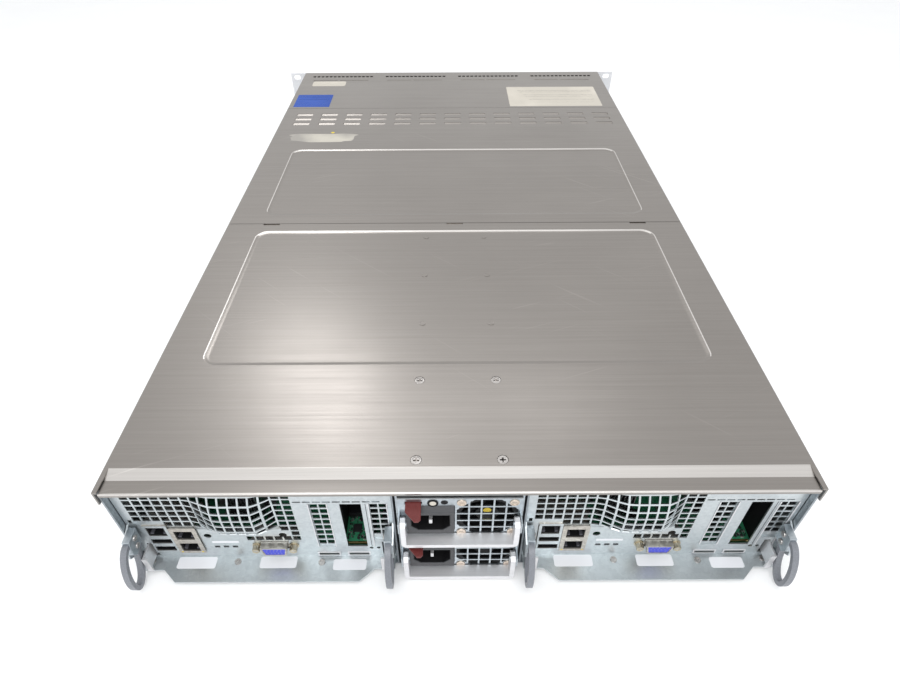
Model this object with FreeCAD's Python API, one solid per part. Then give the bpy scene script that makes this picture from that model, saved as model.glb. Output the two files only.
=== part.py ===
import FreeCAD, Part
import math
import os

# A two-unit rack server that holds two plug-in server sleds, two stacked power supplies
# between them, twelve drive carriers at the front and four fans in the middle.
# Millimetres. +Y is the rear (sleds and power supplies), -Y the front (drives), +Z up.
# The origin is the middle of the body's underside.

V = FreeCAD.Vector
X_AXIS = V(1, 0, 0)
Y_AXIS = V(0, 1, 0)
Z_AXIS = V(0, 0, 1)

# ---- body --------------------------------------------------------------------
BODY_W = 438.0
BODY_H = 88.0
BODY_L = 736.0
SHEET = 1.2
COVER_T = 1.0
SEAT_GAP = 0.3
RUN_GAP = 0.4

# ---- top cover ---------------------------------------------------------------
FRONT_COVER_L = 140.0
MID_COVER_L = 292.0
SEAM = 0.6
SKIRT_H = 12.0
HEM_H = 4.5
PANEL_DROP = 1.2
PANEL_SLOPE = 4.5
PANEL_R = 12.0
PANEL_SIDE = 31.0
MID_PANEL_FRONT = 126.0
MID_PANEL_REAR = 16.0
REAR_PANEL_FRONT = 13.0
REAR_PANEL_L = 183.0
REAR_STEP_DROP = 1.6
REAR_STEP_W = 10.0
REAR_STEP_SLOPE = 8.0
REAR_STEP_SIDE = 3.0
LOUVRE_N = 13
LOUVRE_PITCH = 32.0
LOUVRE_L = 19.0
LOUVRE_W = 3.0
LOUVRE_ROW = 14.7
LOUVRE_FIRST = 21.5
TONGUE_W = 15.0
TONGUE_OUT = 3.2
TONGUE_X = 177.0
NOTCH_D = 2.2
SCREW_X = 27.0
SCREW_ROW = 69.0
SCREW_IN = 23.0
SCREW_HEAD_R = 3.4
SCREW_SUNK = 0.15
SCREW_CLEAR = 0.25
SCREW_SIDES = 12

# ---- power supplies ----------------------------------------------------------
PSU_W = 76.0
PSU_HEADROOM = 1.5
PSU_L = 336.0
PSU_SKIN = 1.0
PSU_FACE_OUT = 1.5
SHELF_T = 1.0
PSU_FAN_DEPTH = 28.0
PSU_FAN_CLEAR = 0.2
PSU_FAN_SIDE = 1.3
GUARD_N = 5
GUARD_PITCH = 7.6
GUARD_BAR = 1.6
INLET_W = 29.5
INLET_SIDE = 0.6
INLET_Z0 = 6.0
INLET_OUT = 3.0
INLET_DEEP = 22.0
SOCKET_W = 24.4
SOCKET_H = 16.4
SOCKET_DEPTH = 16.0
SOCKET_CHAMFER = 4.5
PIN_W = 4.0
PIN_T = 2.0
PIN_BACK = 5.5
BAIL_T = 3.2
BAIL_D = 8.4
BAIL_PIVOT_UP = 0.2
BAIL_BOTTOM = -0.8
BAIL_R = 4.0
BAIL_PIN_R = 1.5
BAIL_PIN_CLEAR = 0.08
LUG_T = 1.0
TAB_W = 9.6
TAB_T = 1.6
TAB_OUT = 13.0
TAB_IN = 6.0
TAB_SIDE = 4.7
TAB_DOWN = 4.0
TAB_OVER = 3.1

# ---- sleds -------------------------------------------------------------------
DIVIDER_GAP = 1.4
SLED_FRONT_IN = 273.0
PANEL_IN = 6.0
PANEL_T = 1.0
LIP_OUT = 12.6
LIP_SHORT = 3.8
LIP_SIDE = 15.0
LIP_CHAMFER = 9.8
SLED_SIDE_H = 30.0
SLED_CHEEK_L = 60.0
MESH_PITCH = 6.2
MESH_ROW = 6.05
MESH_BAR = 1.15
MESH_DOWN = 41.8
MESH_COLS = 17
MESH_EDGE = 6.0
BULGE_OUT = 8.1
BULGE_COL0 = 2
BULGE_COL1 = 3
BULGE_COL2 = 8
BULGE_COL3 = 11
BULGE_ROW1 = 4
BULGE_ROW2 = 5
BULGE_BEND_OUT = 6.3
BULGE_FOOT = 3.2
SLOT_DOWN = 17.0
SLOT_Z0 = 15.0
SLOT_Z0_SHORT = 24.0
SLOT_SIDE = 8.9
SLOT_STEP_1 = 17.2
SLOT_STEP_2 = 20.6
SLOT_OPEN_W = 13.4
SLOT_PIERCED_W = 11.0
BRACKET_LAP = 1.6
SLOT_CELL_GAP = 0.9
SLOT_CELL_ROW = 6.2
SLOT_CELL_W = 4.8
SLOT_CELL_H = 4.7
PULL_SLOT_W = 13.8
PULL_SLOT_H = 3.0
PULL_SLOT_Z = 5.9
BRACKET_T = 0.8
BOARD_T = 1.6
BOARD_Z = 9.0
BOARD_SIDE = 12.0
RISER_IN = 1.5
RISER_L = 66.0
RISER_LAP = 2.2
CPU_SOCKET = 60.0
SOCKET_T = 5.0
SINK_W = 78.0
SINK_L = 80.0
SINK_H = 46.0
SINK_BASE = 5.0
FIN_N = 8
FIN_T = 1.2
STICK_PITCH = 9.5
STICK_T = 1.6
STICK_L = 132.0
STICK_H = 33.0
COMBO_W = 16.0
COMBO_SIDE = 9.4
COMBO_H = 32.6
LAN_W = 16.8
LAN_GAP = 0.6
LAN_H = 29.0
JACK_W = 12.0
JACK_H = 9.8
USB_W = 13.4
USB_H = 5.4
PORT_DEPTH = 20.0
PORT_CAVITY = 14.0
PORT_OUT = 0.8
PORT_GAP = 0.4
VGA_OFF = -9.8
VGA_Z = 17.2
VGA_POSTS = 25.0
VGA_SHELL_W = 18.0
VGA_SHELL_H = 9.0
VGA_OUT = 5.4
POST_R = 2.5
POST_OUT = 4.6
HANDLE_T = 4.0
HANDLE_L = 19.2
HANDLE_W = 9.6
LOOP_L = 15.8
LOOP_W = 6.4
HANDLE_TILT = 14.0
HANDLE_Y = 11.2
HANDLE_Z = 21.6
LATCH_T = 1.2
LATCH_IN = 32.0
LATCH_Z0 = 5.0
LATCH_Z1 = 20.0
LATCH_SIDE = 6.6
LATCH_OUT = 12.0
LATCH_PAD = 3.0
LATCH_PIN_R = 1.6
LATCH_EYE_R = 2.9
LATCH_CLEAR = 0.08
LATCH_SWING = 2.4

# ---- drives ------------------------------------------------------------------
DRIVE_COLS = 4
DRIVE_ROWS = 3
CAGE_T = 1.0
CAGE_L = 185.0
CARRIER_L = 178.0
RAIL_T = 2.0
DRIVE_L = 147.0
BEZEL_OUT = 5.0
BEZEL_GAP = 0.7
POCKET_IN = 7.2
BACKPLANE_T = 2.4
BACKPLANE_IN = 192.0

# ---- fans --------------------------------------------------------------------
FAN_N = 4
FAN_HEADROOM = 4.3
FAN_DEPTH = 38.0
FAN_WALL_IN = 202.0
FAN_WALL = 1.5
STRUT_T = 3.0
HUB_SHARE = 0.2
HUB_SIDES = 12
BORE_SIDES = 16
ROTOR_FRONT = 2.0
SHAFT_R = 1.5
SHAFT_L = 12.0
SHAFT_CLEAR = 0.06
BLADE_N = 5
BLADE_T = 1.6
BLADE_TILT = 32.0
TIP_GAP = 0.8

# ---- ears --------------------------------------------------------------------
EAR_OVER = 22.3
EAR_T = 2.0
EAR_LEG = 36.0
EAR_HOLE_IN = 8.75
EAR_HOLE_END = 5.9
EAR_SLOT_R = 3.4
EAR_SLOT_L = 10.4
EAR_PANEL_H = 52.0
EAR_PANEL_SIDE = 1.5
EAR_PANEL_OUT = 6.0
EAR_PANEL_CORNER = 2.0
BUTTON_W = 7.0
BUTTON_H = 10.0
BUTTON_CORNER = 1.5
BUTTON_CLEAR = 0.3
BUTTON_OUT = 0.8
BUTTON_TRAVEL = 1.5
BUTTON_UP = 18.0

# ---- levels and planes worked out from the sizes above -------------------------
REAR = BODY_L / 2
FRONT = -BODY_L / 2
ROOF = BODY_H - COVER_T
SIDE_OUT = BODY_W / 2 - COVER_T - SEAT_GAP
SIDE_IN = SIDE_OUT - SHEET
HEM_Z = BODY_H - HEM_H
SEAM_1 = FRONT + FRONT_COVER_L
SEAM_2 = SEAM_1 + MID_COVER_L
CAGE_IN = PSU_W / 2 + RUN_GAP
CAGE_OUT = CAGE_IN + SHEET
CAGE_TOP = ROOF - PANEL_DROP - 2 * RUN_GAP
PSU_H = (CAGE_TOP - 2 * SHEET - SHELF_T - 3 * SEAT_GAP - PSU_HEADROOM) / 2
PSU_Z = [SHEET + SEAT_GAP, SHEET + 3 * SEAT_GAP + PSU_H + SHELF_T]
PSU_FACE = REAR + PSU_FACE_OUT
PSU_FAN = PSU_H - 2 * PSU_SKIN - PSU_FAN_CLEAR
PSU_FAN_X = -PSU_W / 2 + PSU_SKIN + PSU_FAN / 2 + PSU_FAN_SIDE
BAIL_OUT = PSU_W / 2 - LUG_T - SEAT_GAP
BAIL_IN = BAIL_OUT - BAIL_T
INLET_X1 = BAIL_IN - INLET_SIDE
INLET_X0 = INLET_X1 - INLET_W
TAB_Z = PSU_H - TAB_DOWN
TAB_X = INLET_X1 - TAB_SIDE
INLET_Z1 = TAB_Z - TAB_OVER
PSU_BAY_FRONT = PSU_FACE - PSU_L - 2.0
DIVIDER_IN = CAGE_OUT + DIVIDER_GAP
DIVIDER_OUT = DIVIDER_IN + SHEET
SLED_X0 = DIVIDER_OUT + RUN_GAP
SLED_X1 = SIDE_IN - RUN_GAP
SLED_W = SLED_X1 - SLED_X0
SLED_X = (SLED_X0 + SLED_X1) / 2
SLED_FRONT = FRONT + SLED_FRONT_IN
SLED_Z = SHEET + SEAT_GAP
SLED_FLOOR = SLED_Z + SHEET
SLED_TOP = HEM_Z - 0.5
PANEL_Y = REAR - PANEL_IN
BOARD_TOP = BOARD_Z + BOARD_T
HALF = SLED_W / 2
INNER = HALF - SHEET
MESH_Z0 = SLED_TOP - MESH_DOWN
SLOT_Z1 = SLED_TOP - SLOT_DOWN
EAR_FRONT = FRONT + EAR_T
EAR_W = BODY_W + 2 * EAR_OVER
EAR_HOLES_X = EAR_W - 2 * EAR_HOLE_IN
EAR_HOLES_Z = BODY_H - 2 * EAR_HOLE_END
BUTTON_Z = BODY_H / 2 + BUTTON_UP
FAN_SIZE = ROOF - PANEL_DROP - FAN_HEADROOM - SHEET - SEAT_GAP
CAGE_Z0 = SHEET
CAGE_Z1 = ROOF - 2 * SEAT_GAP
ROW_PITCH = (CAGE_Z1 - CAGE_Z0) / DRIVE_ROWS
COL_PITCH = 2 * SIDE_IN / DRIVE_COLS
CARRIER_W = COL_PITCH - CAGE_T - 2 * RUN_GAP
CARRIER_H = ROW_PITCH - CAGE_T - 2 * RUN_GAP


# ---- small helpers -------------------------------------------------------------
def box(x0, x1, y0, y1, z0, z1):
    return Part.makeBox(x1 - x0, y1 - y0, z1 - z0, V(x0, y0, z0))


def cyl(radius, start, end):
    line = end - start
    return Part.makeCylinder(radius, line.Length, start, line)


def prism(points, push):
    wire = Part.makePolygon([V(*p) for p in points] + [V(*points[0])])
    return Part.Face(wire).extrude(push)


def regular_prism(radius, sides, start, push):
    """Even-sided prism round a line along X, Y or Z, for what repeats or is not round."""
    along = V(push)
    along.normalize()
    first = Z_AXIS.cross(along) if abs(along.z) < 0.5 else X_AXIS
    second = along.cross(first)
    corners = []
    for i in range(sides):
        turn = 2 * math.pi * (i + 0.5) / sides
        corners.append(start + first * (radius * math.cos(turn)) + second * (radius * math.sin(turn)))
    return Part.Face(Part.makePolygon(corners + corners[:1])).extrude(push)


def fuse(first, others):
    return first.fuse(others).removeSplitter()


def cut(first, others):
    return first.cut(Part.makeCompound(others)).removeSplitter()


def moved(shape, dx=0.0, dy=0.0, dz=0.0):
    copy = shape.copy()
    copy.translate(V(dx, dy, dz))
    return copy


def rounded_rect(x0, x1, y0, y1, radius, z):
    """Wire of a rectangle with round corners, flat at height z."""
    corners = [(x1, y1, 0), (x0, y1, 90), (x0, y0, 180), (x1, y0, 270)]
    arcs = []
    for cx, cy, start in corners:
        mx = cx - math.copysign(radius, cx - (x0 + x1) / 2)
        my = cy - math.copysign(radius, cy - (y0 + y1) / 2)
        arcs.append(Part.makeCircle(radius, V(mx, my, z), Z_AXIS, start, start + 90))
    edges = []
    for arc, following in zip(arcs, arcs[1:] + arcs[:1]):
        edges.append(arc)
        edges.append(Part.makeLine(arc.valueAt(arc.LastParameter),
                                   following.valueAt(following.FirstParameter)))
    return Part.Wire(edges)


def save(name, *shapes):
    shape = shapes[0] if len(shapes) == 1 else Part.makeCompound(list(shapes))
    shape.exportStep("parts/" + name + ".step")


# ---- top cover -----------------------------------------------------------------
def cover_blank(y0, y1):
    """Flat cover sheet with a skirt down each side."""
    half = BODY_W / 2
    profile = [(-half, y0, BODY_H), (half, y0, BODY_H), (half, y0, BODY_H - SKIRT_H),
               (half - COVER_T, y0, BODY_H - SKIRT_H), (half - COVER_T, y0, ROOF),
               (-half + COVER_T, y0, ROOF), (-half + COVER_T, y0, BODY_H - SKIRT_H),
               (-half, y0, BODY_H - SKIRT_H)]
    return prism(profile, V(0, y1 - y0, 0))


def sunk_panel(sheet, y0, y1):
    """Press a shallow round-cornered panel into a cover sheet."""
    half = BODY_W / 2 - PANEL_SIDE
    low = PANEL_SLOPE

    def dish(top):
        rim = rounded_rect(-half, half, y0, y1, PANEL_R, top)
        base = rounded_rect(-half + low, half - low, y0 + low, y1 - low, PANEL_R - low,
                            top - PANEL_DROP)
        return Part.makeLoft([rim, base], True, True)

    return sheet.fuse(dish(ROOF)).cut(dish(BODY_H)).removeSplitter()


def front_cover():
    return cover_blank(FRONT, SEAM_1 - SEAM / 2)


def tongue_centres():
    return [-TONGUE_X, 0.0, TONGUE_X]


def fan_cover():
    y0 = SEAM_1 + SEAM / 2
    y1 = SEAM_2 - SEAM / 2
    sheet = sunk_panel(cover_blank(y0, y1), SEAM_1 + MID_PANEL_FRONT, SEAM_2 - MID_PANEL_REAR)
    slots = []
    for column in range(LOUVRE_N):
        x = (column - (LOUVRE_N - 1) / 2) * LOUVRE_PITCH
        for row in range(3):
            y = SEAM_1 + LOUVRE_FIRST + row * LOUVRE_ROW
            slots.append(box(x - LOUVRE_L / 2, x + LOUVRE_L / 2, y - LOUVRE_W / 2,
                             y + LOUVRE_W / 2, ROOF - 1, BODY_H + 1))
    sheet = cut(sheet, slots)
    tongues = []
    for x in tongue_centres():
        half = TONGUE_W / 2
        low = ROOF - SEAT_GAP - 1.0
        tongues.append(box(x - half, x + half, y1 - 6.0, y1, low, ROOF))
        tongues.append(box(x - half, x + half, y1 - 6.0, y1 + TONGUE_OUT, low, ROOF - SEAT_GAP))
    return fuse(sheet, tongues)


def cover_screw_spots():
    return [(x, REAR - SCREW_IN - row * SCREW_ROW)
            for x in (-SCREW_X, SCREW_X) for row in range(2)]


def rear_cover():
    y0 = SEAM_2 + SEAM / 2
    half = BODY_W / 2
    sheet = sunk_panel(cover_blank(y0, REAR), SEAM_2 + REAR_PANEL_FRONT,
                       SEAM_2 + REAR_PANEL_FRONT + REAR_PANEL_L)
    step_y = REAR - REAR_STEP_W
    drop = REAR_STEP_DROP
    end = half - REAR_STEP_SIDE

    def step(top, y_end):
        profile = [(-end, step_y - REAR_STEP_SLOPE, top), (-end, step_y, top - drop),
                   (-end, y_end, top - drop), (-end, y_end, top)]
        return prism(profile, V(2 * end, 0, 0))

    sheet = sheet.fuse(step(ROOF, REAR - COVER_T)).cut(step(BODY_H, REAR + 1.0))
    hem = box(-end, end, REAR - COVER_T, REAR, HEM_Z, BODY_H - drop)
    sheet = fuse(sheet, [hem])
    holes = [regular_prism(SCREW_HEAD_R + SCREW_CLEAR, SCREW_SIDES, V(x, y, ROOF - 1), V(0, 0, 3))
             for x, y in cover_screw_spots()]
    for x in tongue_centres():
        half_notch = TONGUE_W / 2 + SEAT_GAP
        holes.append(box(x - half_notch, x + half_notch, y0 - 1, y0 + NOTCH_D, ROOF - 1, BODY_H + 1))
    return cut(sheet, holes)


def case_screws():
    """The four cover screws, seated on the power supply cage."""
    height = BODY_H - SCREW_SUNK - CAGE_TOP
    return [regular_prism(SCREW_HEAD_R, SCREW_SIDES, V(x, y, CAGE_TOP), V(0, 0, height))
            for x, y in cover_screw_spots()]


# ---- chassis -------------------------------------------------------------------
def chassis_tray():
    y1 = REAR - 1.5
    wall_top = ROOF - SEAT_GAP
    profile = [(-SIDE_OUT, FRONT, 0), (SIDE_OUT, FRONT, 0), (SIDE_OUT, FRONT, wall_top),
               (SIDE_IN, FRONT, wall_top), (SIDE_IN, FRONT, SHEET), (-SIDE_IN, FRONT, SHEET),
               (-SIDE_IN, FRONT, wall_top), (-SIDE_OUT, FRONT, wall_top)]
    shell = prism(profile, V(0, y1 - FRONT, 0))
    dividers = []
    for side in (-1, 1):
        inner, outer = sorted((side * DIVIDER_IN, side * DIVIDER_OUT))
        dividers.append(box(inner, outer, SLED_FRONT, y1, SHEET, CAGE_TOP))
    shell = fuse(shell, dividers)
    slots = []
    for y in (FRONT + 70.0, -90.0, 90.0, REAR - 60.0):
        for side in (-1, 1):
            slots.append(box(side * SIDE_OUT - 3, side * SIDE_OUT + 3, y - 5, y + 5, 40.0, 47.0))
    return cut(shell, slots)


def psu_cage():
    """Folded channel over the two power supplies, with a shelf between them."""
    y0 = PSU_BAY_FRONT
    y1 = REAR - COVER_T - REAR_STEP_W
    roof = box(-CAGE_OUT, CAGE_OUT, y0, y1, CAGE_TOP - SHEET, CAGE_TOP)
    walls = [box(-CAGE_OUT, -CAGE_IN, y0, REAR - 2.0, SHEET, CAGE_TOP - SHEET),
             box(CAGE_IN, CAGE_OUT, y0, REAR - 2.0, SHEET, CAGE_TOP - SHEET)]
    shelf_z = PSU_Z[0] + PSU_H + SEAT_GAP
    shelf = box(-CAGE_OUT, CAGE_OUT, y0, REAR - 2.0, shelf_z, shelf_z + SHELF_T)
    swing = TONGUE_W / 2 + RUN_GAP
    room = box(-swing, swing, SEAM_2 - 4.0, SEAM_2 + 2 * TONGUE_OUT, CAGE_TOP - 2 * SHEET, CAGE_TOP + 1)
    return fuse(roof, walls + [shelf]).cut(room)


def power_board():
    """Upright distribution board with a socket for each power supply and rows of capacitors."""
    y1 = PSU_BAY_FRONT - 1.0
    half = PSU_W / 2 - 3
    solids = [box(-half, half, y1 - BOARD_T - 12, y1 - 12, SHEET, CAGE_TOP - 6)]
    for z in PSU_Z:
        solids.append(box(-half + 6, half - 6, y1 - 12, y1, z + 10, z + 24))
    solids.append(box(-half, half, SLED_FRONT, y1 - BOARD_T - 12, SHEET, SHEET + 8))
    solids.append(box(-half + 4, half - 4, SLED_FRONT + 8, SLED_FRONT + 40, SHEET + 8, SHEET + 40))
    return fuse(solids[0], solids[1:])


# ---- drives --------------------------------------------------------------------
def drive_cage():
    """Egg-crate of three uprights and two shelves, one cell for each carrier."""
    y0 = FRONT + 2.0
    y1 = y0 + CAGE_L
    plates = []
    for i in range(DRIVE_COLS + 1):
        x = -SIDE_IN + i * COL_PITCH
        left = max(x - CAGE_T / 2, -SIDE_IN)
        right = min(x + CAGE_T / 2, SIDE_IN)
        plates.append(box(left, right, y0, y1, CAGE_Z0, CAGE_Z1))
    for i in range(DRIVE_ROWS - 1):
        z = CAGE_Z0 + (i + 1) * ROW_PITCH
        plates.append(box(-SIDE_IN, SIDE_IN, y0, y1, z - CAGE_T / 2, z + CAGE_T / 2))
    return fuse(plates[0], plates[1:])


def backplane():
    y0 = FRONT + BACKPLANE_IN
    y1 = y0 + BACKPLANE_T
    board = box(-SIDE_IN + 2, SIDE_IN - 2, y0, y1, SHEET, ROOF - 4)
    plugs = []
    for column in range(DRIVE_COLS):
        x = -SIDE_IN + (column + 0.5) * COL_PITCH
        for row in range(DRIVE_ROWS):
            z = CAGE_Z0 + (row + 0.5) * ROW_PITCH
            plugs.append(box(x - 22, x + 22, y0 - 6, y0, z - 4, z + 4))
    board = fuse(board, plugs)
    vents = []
    for column in range(DRIVE_COLS):
        x = -SIDE_IN + (column + 0.5) * COL_PITCH
        for row in range(1, DRIVE_ROWS):
            z = CAGE_Z0 + row * ROW_PITCH
            vents.append(box(x - 36, x + 36, y0 - 1, y1 + 1, z - 5, z + 5))
    return cut(board, vents)


def drive(column, row):
    """Carrier with two rails and a pierced bezel, the drive in it, and its lever."""
    cx = -SIDE_IN + (column + 0.5) * COL_PITCH
    cz = CAGE_Z0 + (row + 0.5) * ROW_PITCH
    x0, x1 = cx - CARRIER_W / 2, cx + CARRIER_W / 2
    z0, z1 = cz - CARRIER_H / 2, cz + CARRIER_H / 2
    y0 = FRONT + 2.0
    rear = y0 + CARRIER_L
    bezel = box(cx - COL_PITCH / 2 + BEZEL_GAP / 2, cx + COL_PITCH / 2 - BEZEL_GAP / 2,
                FRONT - BEZEL_OUT, FRONT - BEZEL_OUT + 4.0,
                cz - ROW_PITCH / 2 + BEZEL_GAP / 2, cz + ROW_PITCH / 2 - BEZEL_GAP / 2)
    rails = [box(x0, x0 + RAIL_T, FRONT - BEZEL_OUT + 4.0, rear, z0, z1),
             box(x1 - RAIL_T, x1, FRONT - BEZEL_OUT + 4.0, rear, z0, z1)]
    carrier = fuse(bezel, rails)
    grip = FRONT - BEZEL_OUT
    wide = CARRIER_W / 2 - POCKET_IN
    vent = box(cx - wide + 2, cx + wide - 2, grip - 1, grip + 7, cz + 2.5, z1 - 4.3)
    pocket = box(cx - wide, cx + wide, grip - 1, grip + 2.4, z0 + 3.3, cz - 1)
    carrier = cut(carrier, [vent, pocket])
    disk = box(x0 + RAIL_T + SEAT_GAP, x1 - RAIL_T - SEAT_GAP, rear - DRIVE_L, rear,
               z0 + 0.2, z1 - 0.6)
    lever = box(cx - wide + 0.6, cx + wide - 0.6, grip - 0.6, grip + 2.2, z0 + 3.9, cz - 1.6)
    return [carrier, disk, lever]


# ---- fans ----------------------------------------------------------------------
def fan_frame(size, depth):
    """Square fan housing, open along Y, with a hub plate carried on three struts at its rear."""
    half = size / 2
    bore = half - FAN_WALL
    frame = box(-half, half, 0, depth, -half, half)
    frame = frame.cut(regular_prism(bore, BORE_SIDES, V(0, -1, 0), V(0, depth + 2, 0)))
    hub_y = depth - STRUT_T
    struts = []
    for i in range(3):
        strut = box(0, bore + 0.3, hub_y, depth, -STRUT_T / 2, STRUT_T / 2)
        strut.rotate(V(0, 0, 0), Y_AXIS, 90 + 120 * i)
        struts.append(strut)
    struts.append(regular_prism(size * HUB_SHARE, HUB_SIDES, V(0, hub_y, 0), V(0, STRUT_T, 0)))
    struts.append(cyl(SHAFT_R, V(0, hub_y - SHAFT_L, 0), V(0, hub_y, 0)))
    return fuse(frame, struts)


def fan_rotor(size, depth):
    """Hub with slanted blades, bored to run on the housing's shaft."""
    bore = (size / 2 - FAN_WALL) * math.cos(math.pi / BORE_SIDES)
    hub = size * HUB_SHARE
    y0 = ROTOR_FRONT
    y1 = depth - STRUT_T - SEAT_GAP
    middle = (y0 + y1) / 2
    chord = (y1 - y0) * 0.9
    rise = chord * math.sin(math.radians(BLADE_TILT)) / 2 + BLADE_T
    tip = math.sqrt((bore - TIP_GAP) ** 2 - rise ** 2)
    blades = []
    for i in range(BLADE_N):
        blade = box(hub * 0.7, tip, middle - chord / 2, middle + chord / 2, -BLADE_T / 2, BLADE_T / 2)
        blade.rotate(V(0, middle, 0), X_AXIS, BLADE_TILT)
        blade.rotate(V(0, 0, 0), Y_AXIS, 360 * i / BLADE_N)
        blades.append(blade)
    rotor = fuse(regular_prism(hub, HUB_SIDES, V(0, y0, 0), V(0, y1 - y0, 0)), blades)
    bottom = depth - STRUT_T - SHAFT_L - SEAT_GAP
    return rotor.cut(cyl(SHAFT_R + SHAFT_CLEAR, V(0, bottom, 0), V(0, y1 + 1, 0)))


def fan_centres():
    pitch = 2 * SIDE_IN / FAN_N
    return [(-SIDE_IN + (i + 0.5) * pitch, FRONT + FAN_WALL_IN, SHEET + SEAT_GAP + FAN_SIZE / 2)
            for i in range(FAN_N)]


# ---- power supply, drawn with its lower left corner at the origin of its bay ---------
def bail_frame(z):
    """Outer and inner half widths of the pull handle, and its pivot."""
    pivot = V(0, PSU_FACE + 0.5 + BAIL_D / 2, z + PSU_H / 2 + BAIL_PIVOT_UP)
    return BAIL_OUT, BAIL_IN, pivot


def psu_case(z):
    half = PSU_W / 2
    y0 = PSU_FACE - PSU_L
    outer = box(-half, half, y0, PSU_FACE, z, z + PSU_H)
    inner = box(-half + PSU_SKIN, half - PSU_SKIN, y0 + PSU_SKIN, PSU_FACE - PSU_SKIN,
                z + PSU_SKIN, z + PSU_H - PSU_SKIN)
    case = outer.cut(inner)
    fan_z = z + PSU_H / 2
    cells = []
    first = -(GUARD_N - 1) / 2
    side = (GUARD_PITCH - GUARD_BAR) / 2
    for i in range(GUARD_N):
        for j in range(GUARD_N):
            if i in (0, GUARD_N - 1) and j in (0, GUARD_N - 1):
                continue
            cx = PSU_FAN_X + (first + i) * GUARD_PITCH
            cz = fan_z + (first + j) * GUARD_PITCH
            reach_x = side if 0 < i < GUARD_N - 1 else side - 0.8
            reach_z = side if 0 < j < GUARD_N - 1 else side - 0.8
            cells.append(box(cx - reach_x, cx + reach_x, PSU_FACE - 2, PSU_FACE + 1,
                             cz - reach_z, cz + reach_z))
    cells.append(box(INLET_X0 - SEAT_GAP, INLET_X1 + SEAT_GAP, PSU_FACE - 2, PSU_FACE + 1,
                     z + INLET_Z0 - SEAT_GAP, z + INLET_Z1 + SEAT_GAP))
    tab = TAB_T / 2 + 0.6
    cells.append(box(TAB_X - TAB_W / 2 - 0.5, TAB_X + TAB_W / 2 + 0.5, PSU_FACE - 2, PSU_FACE + 1,
                     z + TAB_Z - tab, z + TAB_Z + tab))
    case = cut(case, cells)
    outer_x, inner_x, pivot = bail_frame(z)
    lugs = []
    for side_sign in (-1, 1):
        a, b = sorted((side_sign * half, side_sign * (half - LUG_T)))
        lugs.append(box(a, b, PSU_FACE - 1, PSU_FACE + BAIL_D, pivot.z - 5, pivot.z + 5))
        lugs.append(cyl(BAIL_PIN_R, V(side_sign * (half - LUG_T / 2), pivot.y, pivot.z),
                        V(side_sign * (inner_x - 0.6), pivot.y, pivot.z)))
    return fuse(case, lugs)


def psu_fan_frame(z):
    frame = fan_frame(PSU_FAN, PSU_FAN_DEPTH)
    frame.rotate(V(0, 0, 0), Z_AXIS, 180)
    return moved(frame, PSU_FAN_X, PSU_FACE - PSU_SKIN, z + PSU_H / 2)


def psu_rotor(z):
    rotor = fan_rotor(PSU_FAN, PSU_FAN_DEPTH)
    rotor.rotate(V(0, 0, 0), Z_AXIS, 180)
    return moved(rotor, PSU_FAN_X, PSU_FACE - PSU_SKIN, z + PSU_H / 2)


def psu_inlet(z):
    """Moulded mains inlet: a block with a six-sided socket and three blades."""
    y1 = PSU_FACE + INLET_OUT
    y0 = y1 - INLET_DEEP
    block = prism([(INLET_X0, y0, z + INLET_Z0), (INLET_X0, y1, z + INLET_Z0),
                   (INLET_X0, y1, z + INLET_Z1 - 3.0), (INLET_X0, PSU_FACE, z + INLET_Z1),
                   (INLET_X0, y0, z + INLET_Z1)], V(INLET_X1 - INLET_X0, 0, 0))
    cx = (INLET_X0 + INLET_X1) / 2
    cz = z + (INLET_Z0 + INLET_Z1) / 2 - 0.8
    w, h, c = SOCKET_W / 2, SOCKET_H / 2, SOCKET_CHAMFER
    floor = y1 - SOCKET_DEPTH
    mouth = [(cx - w, floor, cz + h), (cx - w, floor, cz - h + c), (cx - w + c, floor, cz - h),
             (cx + w - c, floor, cz - h), (cx + w, floor, cz - h + c), (cx + w, floor, cz + h)]
    block = block.cut(prism(mouth, V(0, SOCKET_DEPTH + 1, 0)))
    blades = []
    for dx, dz in ((-7.0, 1.6), (0.0, -2.4), (7.0, 1.6)):
        blades.append(box(cx + dx - PIN_T / 2, cx + dx + PIN_T / 2, floor - 1, y1 - PIN_BACK,
                          cz + dz - PIN_W / 2, cz + dz + PIN_W / 2))
    return fuse(block, blades)


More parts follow.
